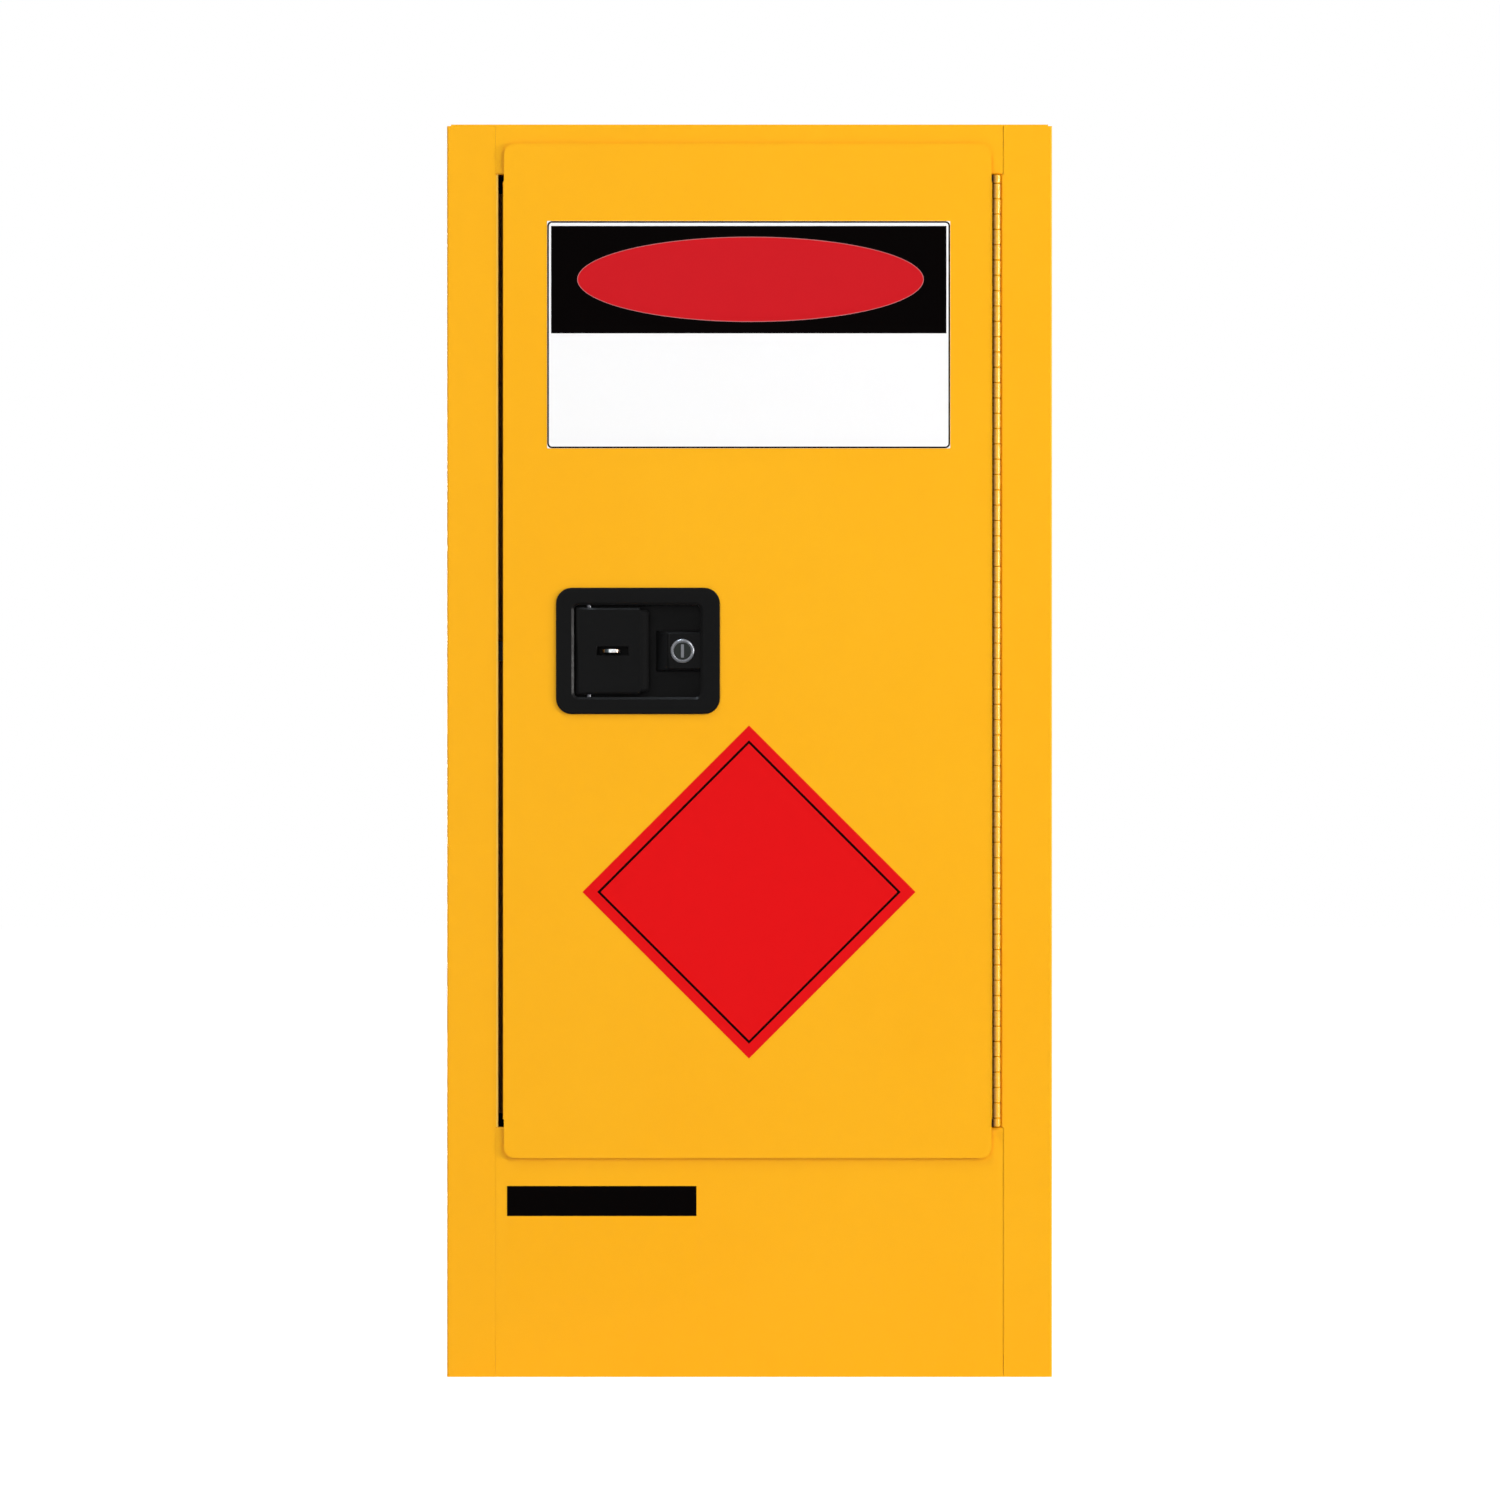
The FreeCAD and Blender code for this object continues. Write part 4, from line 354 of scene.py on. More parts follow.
def rounded_rectangle(x_limits, z_limits, radius, y):
    """A closed loop at depth y: four quarter circles, joined by straight sides."""
    angles = np.linspace(0.0, np.pi / 2, CORNER_POINTS) + np.arange(4)[:, None] * np.pi / 2
    (left, right), (bottom, top) = inset(x_limits, radius), inset(z_limits, radius)
    centre_x, centre_z = np.array([right, left, left, right]), np.array([top, top, bottom, bottom])
    across = centre_x[:, None] + radius * np.cos(angles)
    up = centre_z[:, None] + radius * np.sin(angles)
    return np.stack([across, np.full_like(across, y), up], axis=-1).reshape(-1, 3)


def wrap(loops, joined=False, inks=None):
    """Quads between closed loops that follow each other, with a flat end on the first and the last, or a
    ring where the last is joined to the first. inks gives each band's material, and last the far end's."""
    levels, count, _ = loops.shape
    starts = np.arange(levels if joined else levels - 1)[:, None] * count
    here = starts + np.arange(count)
    ahead = starts + (np.arange(count) + 1) % count
    quads = np.stack([here, ahead, ahead + count, here + count], axis=-1).reshape(-1, 4) % (levels * count)
    faces = quads.tolist()
    bands = np.repeat(inks[:-1] if inks else np.zeros(len(starts), int), count).tolist()
    if not joined:
        faces += [list(range(count)), list(range((levels - 1) * count, levels * count))]
        bands += [0, inks[-1] if inks else 0]
    return loops.reshape(-1, 3), faces, bands


def new_piece(name, shells, *finishes):
    """One object of closed shells, with its faces turned outwards, and smooth apart from edges over CRISP."""
    starts = np.cumsum([0] + [len(points) for points, _, _ in shells]).tolist()
    faces = [
        [corner + start for corner in face] for start, (_, shell_faces, _) in zip(starts, shells)
        for face in shell_faces
    ]
    mesh = bpy.data.meshes.new(name)
    mesh.from_pydata(np.concatenate([points for points, _, _ in shells]).tolist(), [], faces)
    mesh.polygons.foreach_set("material_index", [ink for _, _, bands in shells for ink in bands])
    work = bmesh.new()
    work.from_mesh(mesh)
    bmesh.ops.delete(work, geom=[point for point in work.verts if not point.link_faces], context="VERTS")
    bmesh.ops.recalc_face_normals(work, faces=work.faces)
    work.to_mesh(mesh)
    work.free()
    mesh.shade_smooth()
    mesh.set_sharp_from_angle(angle=CRISP)
    for finish in finishes:
        mesh.materials.append(finish)
    piece = bpy.data.objects.new(name, mesh)
    scene.collection.objects.link(piece)
    return piece


def printed(name, shown, roughness=(0.41, 0.51), gloss=0.05):
    """The finish of printed vinyl: an even colour under a smooth film with a slight ripple."""
    finish, tree, shader = uneven_finish(name, colour(*shown), roughness, 18.0, specular=gloss)
    relief(tree, noise(tree, 60.0, 1.0), 0.00003, shader)
    return finish


def sheet(corners, y, thickness, radius=0.0003):
    """A thin flat sheet on a face at depth y. Its upper left and lower right corners are two pixels of the
    photograph."""
    (left, top), (right, bottom) = place(*corners[0]), place(*corners[1])
    return wrap(np.stack([
        rounded_rectangle((left, right), (bottom, top), radius, level) for level in (y, y - thickness)
    ]))


def oval(centre, half_width, half_height, y):
    """A closed elliptical loop at depth y."""
    angles = np.linspace(0.0, 2 * np.pi, OVAL_POINTS, endpoint=False)
    x, z = centre[0] + half_width * np.cos(angles), centre[1] + half_height * np.sin(angles)
    return np.stack([x, np.full(OVAL_POINTS, y), z], axis=-1)


white_vinyl = printed("white_vinyl", (255, 253, 252))
black_ink = printed("black_ink", (5, 3, 3), gloss=0.012)
red_ink = printed("red_ink", (208, 27, 35))
pale_ink = printed("pale_ink", (196, 120, 120))

(left, top), (right, bottom) = place(*NOTICE_CORNERS[0]), place(*NOTICE_CORNERS[1])
notice_x, notice_z, vinyl_face = (left, right), (bottom, top), DOOR_FACE - VINYL
notice_loops = np.stack([
    rounded_rectangle(inset(notice_x, amount), inset(notice_z, amount), radius, y)
    for amount, radius, y in (
        (0.0, 0.0004, DOOR_FACE), (0.0, 0.0004, vinyl_face), (FRAME_GAP, FRAME_ROUND, vinyl_face),
        (FRAME_GAP + FRAME_WIDTH, FRAME_ROUND - FRAME_WIDTH, vinyl_face),
    )
])
notice = new_piece("notice_sheet", [wrap(notice_loops, inks=[0, 0, 1, 0])], white_vinyl, black_ink)
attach(notice, "door")

header = new_piece("notice_header", [sheet(HEADER_CORNERS, vinyl_face, INK)], black_ink)
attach(header, "door")

ink_face = vinyl_face - INK
oval_loops = np.stack([
    oval(place(*OVAL_PLACE), OVAL_HALF_WIDTH - rim, OVAL_HALF_HEIGHT - rim, y)
    for rim, y in ((0.0, ink_face), (0.0, ink_face - INK), (OVAL_RIM, ink_face - INK))
])
notice_oval = new_piece("notice_oval", [wrap(oval_loops, inks=[0, 0, 1])], pale_ink, red_ink)
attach(notice_oval, "door")

# Diamond on the door: a plain placard of red vinyl, stuck on the skin below the notice with one corner up.
# One thin black line runs round inside its edge.
DIAMOND_PLACE = (749.0, 892.0)
DIAMOND_HALF, LINE_OUTER, LINE_INNER = 0.1376, 0.1254, 0.1226
diamond_red = printed("diamond_red", (232, 17, 21))


def diamond(half, y):
    """Four corners at distance half from the placard's centre."""
    x, z = place(*DIAMOND_PLACE)
    return np.array([(x + half, y, z), (x, y, z + half), (x - half, y, z), (x, y, z - half)])


diamond_loops = np.stack([
    diamond(DIAMOND_HALF, DOOR_FACE), diamond(DIAMOND_HALF, vinyl_face),
    diamond(LINE_OUTER, vinyl_face), diamond(LINE_INNER, vinyl_face),
])
placard = new_piece("door_diamond", [wrap(diamond_loops, inks=[0, 0, 1, 0])], diamond_red, black_ink)
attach(placard, "door")

# Label on the lower front panel: a black bar over a strip of clear film, both stuck flat on the coat. The
# film takes the yellow of the steel behind it, and only its edge shows.
film, tree, shader = new_finish("label_film", colour(255, 181, 8), 0.3, specular=0.22)
relief(tree, noise(tree, 90.0, 1.0), 0.00003, shader)
LABELS = {
    "label_bar": (((507.0, 1186.0), (696.5, 1216.0)), 0.00012, black_ink),
    "label_film": (((507.3, 1217.5), (696.0, 1299.0)), 0.00008, film),
}
for name, (corners, thickness, finish) in LABELS.items():
    label = new_piece(name, [sheet(corners, FRONT, thickness)], finish)
    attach(label, "cabinet")

# Piano hinge: each leaf is a strip whose edge is rolled round the pin into knuckles, every other one of the
# row. It is sprayed with the carcass. Across each barrel the coat is painted with shade: dark on its left
# side, half dark at its right edge and full yellow between. The pin is painted dark brown, as the shade seen
# in the joints between the knuckles. The frame's leaf also has the two short end knuckles.
HINGE_X, HINGE_Y = 0.2042, FRONT - 0.0012
HINGE_LOW, HINGE_HIGH = 0.2068, 0.9934
PITCH, PLAY, FULL_KNUCKLES = 0.01266, 0.0002, 61
END_KNUCKLE = (HINGE_HIGH - HINGE_LOW - PITCH * FULL_KNUCKLES) / 2
CURL_RADIUS, CURL_POINTS, END_ROUND, END_SHRINK = 0.00315, 28, 0.0006, 0.8
LEAF_INNER, LEAF_OUTER, LEAF_START, LEAF_END = 0.0025, 0.0035, 0.0036, 0.018
TONGUE_START, TONGUE_END = 0.0012, LEAF_START + 0.0005


def knuckles(side, lows, highs):
    """Rolled knuckles: a round outline with a tongue back to the leaf, carried up from each low to its high,
    and drawn in a little at both ends."""
    angles = np.linspace(0.0, 2 * np.pi - np.arccos(LEAF_INNER / CURL_RADIUS), CURL_POINTS)
    curl = np.stack([CURL_RADIUS * np.cos(angles), -CURL_RADIUS * np.sin(angles)], axis=-1)
    tongue = np.array([(LEAF_INNER, TONGUE_END), (LEAF_OUTER, TONGUE_END), (LEAF_OUTER, TONGUE_START)])
    outline = np.concatenate([curl, tongue]) * np.array([END_SHRINK, 1.0, 1.0, END_SHRINK])[:, None, None]
    across, back = HINGE_X + side * outline[..., 0], HINGE_Y + outline[..., 1]
    shells = []
    for low, high in zip(lows, highs):
        heights = np.array([low, low + END_ROUND, high - END_ROUND, high])[:, None]
        shells.append(wrap(np.stack([across, back, np.broadcast_to(heights, across.shape)], axis=-1)))
    return shells


def lifted(plan, level):
    """The X and Y points of a plan, all at one level."""
    return np.column_stack([plan, np.full(len(plan), level)])


def block(x_limits, y_limits, z_limits):
    """A plain bar between its limits, as one part of a larger piece."""
    (left, right), (near, far) = x_limits, y_limits
    plan = [(left, near), (right, near), (right, far), (left, far)]
    return wrap(np.stack([lifted(plan, level) for level in z_limits]))


hinge_coat_painted_shade, tree, shader = uneven_finish("hinge_coat_painted_shade", YELLOW, (0.24, 0.32), 300.0, specular=0.6)
# Painted shade: the barrel's colour is dark on its left side, full yellow towards its right and half dark at
# its right edge.
PAINTED_SHADE_DARK, PAINTED_SHADE_HALF, FULL = colour(84, 52, 6), colour(196, 132, 10), colour(255, 184, 14)
painted_barrel_shade = stripes(
    tree, (HINGE_X - CURL_RADIUS, HINGE_X + CURL_RADIUS),
    ((0.0, PAINTED_SHADE_DARK), (0.08, PAINTED_SHADE_DARK), (0.28, PAINTED_SHADE_HALF), (0.56, FULL), (0.93, FULL), (1.0, PAINTED_SHADE_HALF)),
)
tree.links.new(painted_barrel_shade, shader.inputs["Base Color"])
# Painted shade: the pin is a dull dark brown, standing for the shade in the joints between the knuckles.
pin_painted_shade, tree, shader = uneven_finish("pin_painted_shade", colour(70, 42, 10), (0.7, 0.9), 500.0, specular=0.05)
dress(pin_painted_shade, "hinge_pin")

knuckle_lows = HINGE_LOW + END_KNUCKLE + PITCH * np.arange(FULL_KNUCKLES) + PLAY / 2
knuckle_highs = knuckle_lows + PITCH - PLAY
end_lows = [HINGE_LOW, HINGE_HIGH - END_KNUCKLE + PLAY / 2]
end_highs = [HINGE_LOW + END_KNUCKLE - PLAY / 2, HINGE_HIGH]
for leaf, body, side, first in (("hinge_frame_leaf", "cabinet", 1, 1), ("hinge_door_leaf", "door", -1, 0)):
    lows, highs = list(knuckle_lows[first::2]), list(knuckle_highs[first::2])
    if leaf == "hinge_frame_leaf":
        lows, highs = lows + end_lows, highs + end_highs
    strip_x = sorted((HINGE_X + side * LEAF_INNER, HINGE_X + side * LEAF_OUTER))
    strip = block(strip_x, (HINGE_Y + LEAF_START, HINGE_Y + LEAF_END), (HINGE_LOW, HINGE_HIGH))
    rolled = new_piece(f"{leaf}_rolled", [strip, *knuckles(side, lows, highs)], hinge_coat_painted_shade)
    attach(rolled, body)
    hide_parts(leaf)

# Latch housing: one black nylon moulding, clamped in the door's cut-out over a rubber gasket. A bevelled
# frame stands round a deep recess, whose floor has a window for the paddle's arm, a slot for the padlock eye,
# and a tapered boss with matt flanks for the lock. The flanks' nylon is paler than the rest, as painted light
# that lifts the shade on them.
LATCH_LEVEL = 0.6
BEZEL_FACE = DOOR_FACE - 0.002
BEZEL_BACK = DOOR_FACE - 0.0004
RECESS_FLOOR = BEZEL_FACE + 0.02
MOULDING = 0.0018
FLOOR_BACK = RECESS_FLOOR + MOULDING


def about(middle, half):
    """The limits that lie half to each side of a middle."""
    return middle - half, middle + half


BEZEL_X, BEZEL_Z, BEZEL_ROUND = (-0.1599, -0.0244), about(LATCH_LEVEL, 0.05225), 0.013
BEZEL_EDGE = ((0.0, 0.001), (0.0003, 0.0003), (0.001, 0.0), (0.0014, 0.0))
MOUTH_X, MOUTH_Z, MOUTH_ROUND, MOUTH_DEPTH = (-0.1471, -0.0385), about(LATCH_LEVEL, 0.04015), 0.006, 0.0015
RECESS_X, RECESS_Z, RECESS_ROUND = (-0.1451, -0.0405), about(LATCH_LEVEL, 0.03815), 0.004
OUTER_X, OUTER_Z, OUTER_ROUND = inset(RECESS_X, -MOULDING), inset(RECESS_Z, -MOULDING), 0.0055
FLOOR_LAP = 0.0004
PIVOT_X, PIVOT_Y = -0.1328, FRONT + 0.0024
WINDOW_X, WINDOW_Z = about(PIVOT_X, 0.009), about(LATCH_LEVEL, 0.0055)
EYE_X, EYE_HALF = (-0.1215, -0.107), 0.0015
BOSS_FOOT, BOSS_HEAD, BOSS_END, BOSS_ROUND = -0.0774, -0.0678, RECESS_X[1] + 0.0005, 0.0012
BOSS_FOOT_Z, BOSS_HEAD_Z = about(LATCH_LEVEL, 0.017), about(LATCH_LEVEL, 0.015)
BOSS_SUNK, BOSS_TOP, BOSS_EDGE, BOSS_DROP = 0.0002, FRONT - 0.0016, 0.0008, 0.0007

NYLON_BLACK, NYLON_FILM = (0.0022, 0.0022, 0.0023, 1.0), 0.095
nylon, tree, shader = uneven_finish("black_nylon", NYLON_BLACK, (0.28, 0.36), 300.0, specular=NYLON_FILM)
relief(tree, noise(tree, 1400.0), 0.00002, shader)
# Painted light: the boss's flanks get a paler copy of the nylon, to lift the shade on them.
flank_nylon_painted_light, tree, shader = new_finish("flank_nylon_painted_light", (0.011, 0.011, 0.0115, 1.0), 0.7, specular=NYLON_FILM)
relief(tree, noise(tree, 1400.0), 0.00003, shader)
rubber, tree, shader = new_finish("gasket_rubber", (0.012, 0.012, 0.012, 1.0), 0.8, specular=0.2)
relief(tree, noise(tree, 900.0), 0.0001, shader)
dress(rubber, "latch_gasket")


def soften(piece, width, segments=2):
    """Rounds a piece's edges that are over CRISP."""
    edge = piece.modifiers.new("softened_edges", "BEVEL")
    edge.width = width
    edge.segments = segments
    edge.limit_method = "ANGLE"
    edge.angle_limit = CRISP
    edge.harden_normals = True


frame_loops = np.stack([
    rounded_rectangle(OUTER_X, OUTER_Z, OUTER_ROUND, BEZEL_BACK),
    rounded_rectangle(BEZEL_X, BEZEL_Z, BEZEL_ROUND, BEZEL_BACK),
    *[
        rounded_rectangle(
            inset(BEZEL_X, amount), inset(BEZEL_Z, amount), BEZEL_ROUND - amount, BEZEL_FACE + drop
        )
        for amount, drop in BEZEL_EDGE
    ],
    rounded_rectangle(MOUTH_X, MOUTH_Z, MOUTH_ROUND, BEZEL_FACE),
    rounded_rectangle(RECESS_X, RECESS_Z, RECESS_ROUND, BEZEL_FACE + MOUTH_DEPTH),
    rounded_rectangle(RECESS_X, RECESS_Z, RECESS_ROUND, RECESS_FLOOR + FLOOR_LAP),
    rounded_rectangle(OUTER_X, OUTER_Z, OUTER_ROUND, RECESS_FLOOR + FLOOR_LAP),
])

# The four sides of a quad: the step to the quad beside it, and the two corners that the side runs between.
QUAD_SIDES = (
    ((-1, 0), (0, 0), (0, 1)), ((1, 0), (1, 0), (1, 1)), ((0, -1), (0, 0), (1, 0)), ((0, 1), (0, 1), (1, 1)),
)


def pierced(near, far, solid):
    """A sheet between two grids of points: quads where solid is true, and walls round each hole and edge."""
    rows, columns = solid.shape
    index = np.arange(near[..., 0].size).reshape(rows + 1, columns + 1)
    behind = index + index.size
    i, j = np.nonzero(solid)
    faces = [
        np.stack([grid[i, j], grid[i + 1, j], grid[i + 1, j + 1], grid[i, j + 1]], axis=-1)
        for grid in (index, behind)
    ]
    padded = np.pad(solid, 1)
    for (step_i, step_j), start, end in QUAD_SIDES:
        beside = padded[1 + step_i:rows + 1 + step_i, 1 + step_j:columns + 1 + step_j]
        i, j = np.nonzero(solid & ~beside)
        a, b = (i + start[0], j + start[1]), (i + end[0], j + end[1])
        faces.append(np.stack([index[a], index[b], behind[b], behind[a]], axis=-1))
    faces = np.concatenate(faces).tolist()
    return np.concatenate([near.reshape(-1, 3), far.reshape(-1, 3)]), faces, [0] * len(faces)


floor_x = np.array([OUTER_X[0], *WINDOW_X, *EYE_X, OUTER_X[1]])
floor_z = np.array([OUTER_Z[0], WINDOW_Z[0], *about(LATCH_LEVEL, EYE_HALF), WINDOW_Z[1], OUTER_Z[1]])
ARM_WINDOW, EYE_SLOT = (1, slice(1, 4)), (3, 2)
grid_x, grid_z = np.meshgrid(floor_x, floor_z, indexing="ij")
moulded = np.ones((len(floor_x) - 1, len(floor_z) - 1), bool)
moulded[ARM_WINDOW] = False
moulded[EYE_SLOT] = False
recess_floor = pierced(
    np.stack([grid_x, np.full_like(grid_x, RECESS_FLOOR), grid_z], axis=-1),
    np.stack([grid_x, np.full_like(grid_x, FLOOR_BACK), grid_z], axis=-1),
    moulded,
)

boss_loops = np.stack([
    rounded_rectangle((BOSS_FOOT, BOSS_END), BOSS_FOOT_Z, BOSS_ROUND, RECESS_FLOOR + BOSS_SUNK),
    rounded_rectangle((BOSS_HEAD, BOSS_END), BOSS_HEAD_Z, BOSS_ROUND, BOSS_TOP + BOSS_DROP),
    rounded_rectangle((BOSS_HEAD + BOSS_EDGE, BOSS_END), inset(BOSS_HEAD_Z, BOSS_EDGE), BOSS_ROUND, BOSS_TOP),
])
housing = new_piece(
    "latch_housing_moulding",
    [wrap(frame_loops, joined=True), recess_floor, wrap(boss_loops, inks=[1, 0, 0])],
    nylon, flank_nylon_painted_light,
)
soften(housing, 0.0003)
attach(housing, "door")
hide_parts("latch_housing")

# Paddle: a black nylon pull plate with bevelled edges. Its free side rolls back into the recess as a finger
# lip, which is moulded matt, and a slot in it lets the padlock eye through. Two barrels and an arm behind it
# turn on the pin.
PADDLE_FACE = BEZEL_FACE + 0.0005
PADDLE_X, PADDLE_Z = (-0.1432, -0.0831), about(LATCH_LEVEL, 0.0359)
LIP_RADIUS, LIP_DEPTH, LIP_STEP = 0.0078, 0.015, 0.0022
THICK, EDGE_BEVEL, EDGE_DROP = 0.003, 0.0019, 0.0014
SLOT_X, SLOT_Z = (-0.126, -0.1), about(LATCH_LEVEL, 0.0037)
BARREL_RADIUS, SPRING_SPACE = 0.0045, (LATCH_LEVEL + 0.006, LATCH_LEVEL + 0.019)
ARM_TURN, ARM_REACH, ARM_HALF_WIDTH = math.radians(17.5), 0.01934, 0.0024
ARM_Z, ARM_PIN_RADIUS = about(LATCH_LEVEL, 0.004), 0.003
CHAMFER, BEND_POINTS = 0.0003, 9
UP = (0.0, 0.0, 1.0)

# The plate's section runs along its flat face, round the lip's quarter circle and on to the lip's end.
bends = np.linspace(0.0, np.pi / 2, BEND_POINTS + 1)[1:]
lip_centre = (PADDLE_X[1] - LIP_RADIUS, PADDLE_FACE + LIP_RADIUS)
flat_x = np.array([PADDLE_X[0], PADDLE_X[0] + EDGE_BEVEL, *SLOT_X, lip_centre[0]])
section_x = np.concatenate([flat_x, lip_centre[0] + LIP_RADIUS * np.sin(bends), [PADDLE_X[1]]])
section_y = np.concatenate([
    np.full(flat_x.size, PADDLE_FACE), lip_centre[1] - LIP_RADIUS * np.cos(bends), [PADDLE_FACE + LIP_DEPTH]
])
turn = np.concatenate([np.zeros(flat_x.size), bends, [np.pi / 2]])
into_x, into_y = -np.sin(turn)[:, None], np.cos(turn)[:, None]
levels_z = np.array([PADDLE_Z[0], PADDLE_Z[0] + EDGE_BEVEL, *SLOT_Z, PADDLE_Z[1] - EDGE_BEVEL, PADDLE_Z[1]])
lowered = np.zeros((section_x.size, levels_z.size))
lowered[:, [0, -1]] = EDGE_DROP
lowered[0, :] = EDGE_DROP
drawn_in = np.outer(np.arange(section_x.size) >= flat_x.size, [1.0, 1.0, 0.0, 0.0, -1.0, -1.0]) * LIP_STEP


def paddle_skin(depth):
    """The plate's section, set back from its face by depth and carried up through its levels, which are
    drawn in where the lip begins."""
    x, y = section_x[:, None] + into_x * depth, section_y[:, None] + into_y * depth
    return np.stack([x, y, levels_z + drawn_in], axis=-1)


def turned(profile, centre, axis, count=40, joined=False):
    """A turned shape: (radius, distance) points of a profile, carried round the axis through centre. It is
    closed by flat ends or, where it is joined, by its own first point."""
    along = np.array(axis, float) / np.linalg.norm(axis)
    across = np.array([0.0, 0.0, 1.0]) if abs(along[2]) < 0.9 else np.array([1.0, 0.0, 0.0])
    first = np.cross(along, across) / np.linalg.norm(np.cross(along, across))
    second = np.cross(along, first)
    angles = np.linspace(0.0, 2 * np.pi, count, endpoint=False)
    ring = np.cos(angles)[:, None] * first + np.sin(angles)[:, None] * second
    radii, distances = np.array(profile).T[:, :, None, None]
    return wrap(np.array(centre) + distances * along + radii * ring, joined)


def rod(radius, start, end, centre, axis):
    """A turned rod with a small chamfer at both ends."""
    tip = radius - CHAMFER
    profile = [(tip, start), (radius, start + CHAMFER), (radius, end - CHAMFER), (tip, end)]
    return turned(profile, centre, axis)


plate = np.ones((section_x.size - 1, levels_z.size - 1), bool)
PADDLE_SLOT = (2, 2)
plate[PADDLE_SLOT] = False
pivot = np.array([PIVOT_X, PIVOT_Y])
arm_tip = pivot + ARM_REACH * np.array([-math.sin(ARM_TURN), math.cos(ARM_TURN)])
arm_side = ARM_HALF_WIDTH * np.array([math.cos(ARM_TURN), math.sin(ARM_TURN)])
arm_plan = [pivot - arm_side, arm_tip - arm_side, arm_tip + arm_side, pivot + arm_side]

paddle_nylon, tree, shader = new_finish("paddle_nylon", NYLON_BLACK, 0.32, specular=NYLON_FILM)
SATIN, MATT = (0.32, 0.32, 0.32, 1.0), (0.75, 0.75, 0.75, 1.0)
matt_lip = stripes(tree, (lip_centre[0], PADDLE_X[1]), ((0.0, SATIN), (0.2, MATT), (1.0, MATT)))
tree.links.new(matt_lip, shader.inputs["Roughness"])
relief(tree, noise(tree, 1400.0), 0.00002, shader)
paddle = new_piece(
    "paddle_plate",
    [
        pierced(paddle_skin(lowered), paddle_skin(np.full_like(lowered, THICK)), plate),
        rod(BARREL_RADIUS, PADDLE_Z[0], SPRING_SPACE[0], (*pivot, 0.0), UP),
        rod(BARREL_RADIUS, SPRING_SPACE[1], PADDLE_Z[1], (*pivot, 0.0), UP),
        rod(ARM_PIN_RADIUS, *ARM_Z, (*arm_tip, 0.0), UP),
        wrap(np.stack([lifted(arm_plan, level) for level in ARM_Z])),
    ],
    paddle_nylon,
)
soften(paddle, 0.00025)
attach(paddle, "paddle")
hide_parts("paddle")

# Paddle pin and spring: a ground steel pin whose ends show in the recess's walls, with a coil of spring wire
# round its middle whose two legs press on the paddle and on the floor.
WIRE, COIL, LEG = 0.0004, 0.00285, 0.011
SPRING_LOW, SPRING_RISE, SPRING_TURNS = LATCH_LEVEL + 0.0074, 0.006, 1.5
COIL_POINTS, LEG_POINTS, WIRE_POINTS = 60, 8, 12
spring_wire, tree, shader = uneven_finish(
    "spring_wire", (0.1, 0.1, 0.11, 1.0), (0.25, 0.4), 800.0, metallic=1.0
)
dress(spring_wire, "paddle_pin")
sweep = np.linspace(0.0, 2 * np.pi * SPRING_TURNS, COIL_POINTS)
coil_path = np.stack([
    PIVOT_X - COIL * np.cos(sweep), PIVOT_Y + COIL * np.sin(sweep),
    SPRING_LOW + SPRING_RISE * sweep / sweep[-1],
], axis=-1)
leg_steps = np.linspace(1.0, 0.1, LEG_POINTS)[:, None] * (0.0, LEG, 0.0)
spring_path = np.concatenate([coil_path[0] + leg_steps, coil_path, coil_path[-1] + leg_steps[::-1]])


def tube(path, radius):
    """A round wire along a path: a ring at each point, square to the path there, that starts square to a
    line just off the upright."""
    along = np.gradient(path, axis=0)
    along /= np.linalg.norm(along, axis=1, keepdims=True)
    off_upright = np.array(UP) + 0.01
    first = np.cross(along, off_upright)
    first /= np.linalg.norm(first, axis=1, keepdims=True)
    second = np.cross(along, first)
    angles = np.linspace(0.0, 2 * np.pi, WIRE_POINTS, endpoint=False)[None, :, None]
    return wrap(path[:, None] + radius * (np.cos(angles) * first[:, None] + np.sin(angles) * second[:, None]))


spring = new_piece("paddle_spring_coil", [tube(spring_path, WIRE)], spring_wire)
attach(spring, "door")
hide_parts("paddle_spring")

# Padlock eye: a pressed steel tongue with round corners that stands out through the paddle's slot. A shackle
# goes through its hole. Across the tongue its colour runs in bands: brass-coloured at the left end, a dark
# band of painted shade, a bright band of painted highlight over the middle, and a dull brown band at the
# right end.
EYE_TIP, EYE_ROUND, EYE_POINTS, HOLE_RADIUS = BEZEL_FACE - 0.008, 0.0055, 9, 0.003
HOLE_Y = EYE_TIP + EYE_ROUND
FLANK_Y = HOLE_Y + 0.004
eye_middle = (EYE_X[0] + EYE_X[1]) / 2
corner = np.linspace(0.0, np.pi / 2, EYE_POINTS)
corner_x, corner_y = EYE_ROUND * np.sin(corner), HOLE_Y - EYE_ROUND * np.cos(corner)
right_side = np.concatenate([
    np.column_stack([EYE_X[1] - EYE_ROUND + corner_x, corner_y]),
    [(EYE_X[1], FLANK_Y), (EYE_X[1], FLOOR_BACK), (eye_middle, FLOOR_BACK)],
])
left_side = np.column_stack([2 * eye_middle - right_side[-2::-1, 0], right_side[-2::-1, 1]])
edge = np.concatenate([right_side, left_side])
toward_edge = edge - (eye_middle, HOLE_Y)
hole = HOLE_RADIUS * toward_edge / np.linalg.norm(toward_edge, axis=1, keepdims=True) + (eye_middle, HOLE_Y)
low, high = about(LATCH_LEVEL, EYE_HALF)
eye_loops = np.stack([lifted(hole, low), lifted(edge, low), lifted(edge, high), lifted(hole, high)])

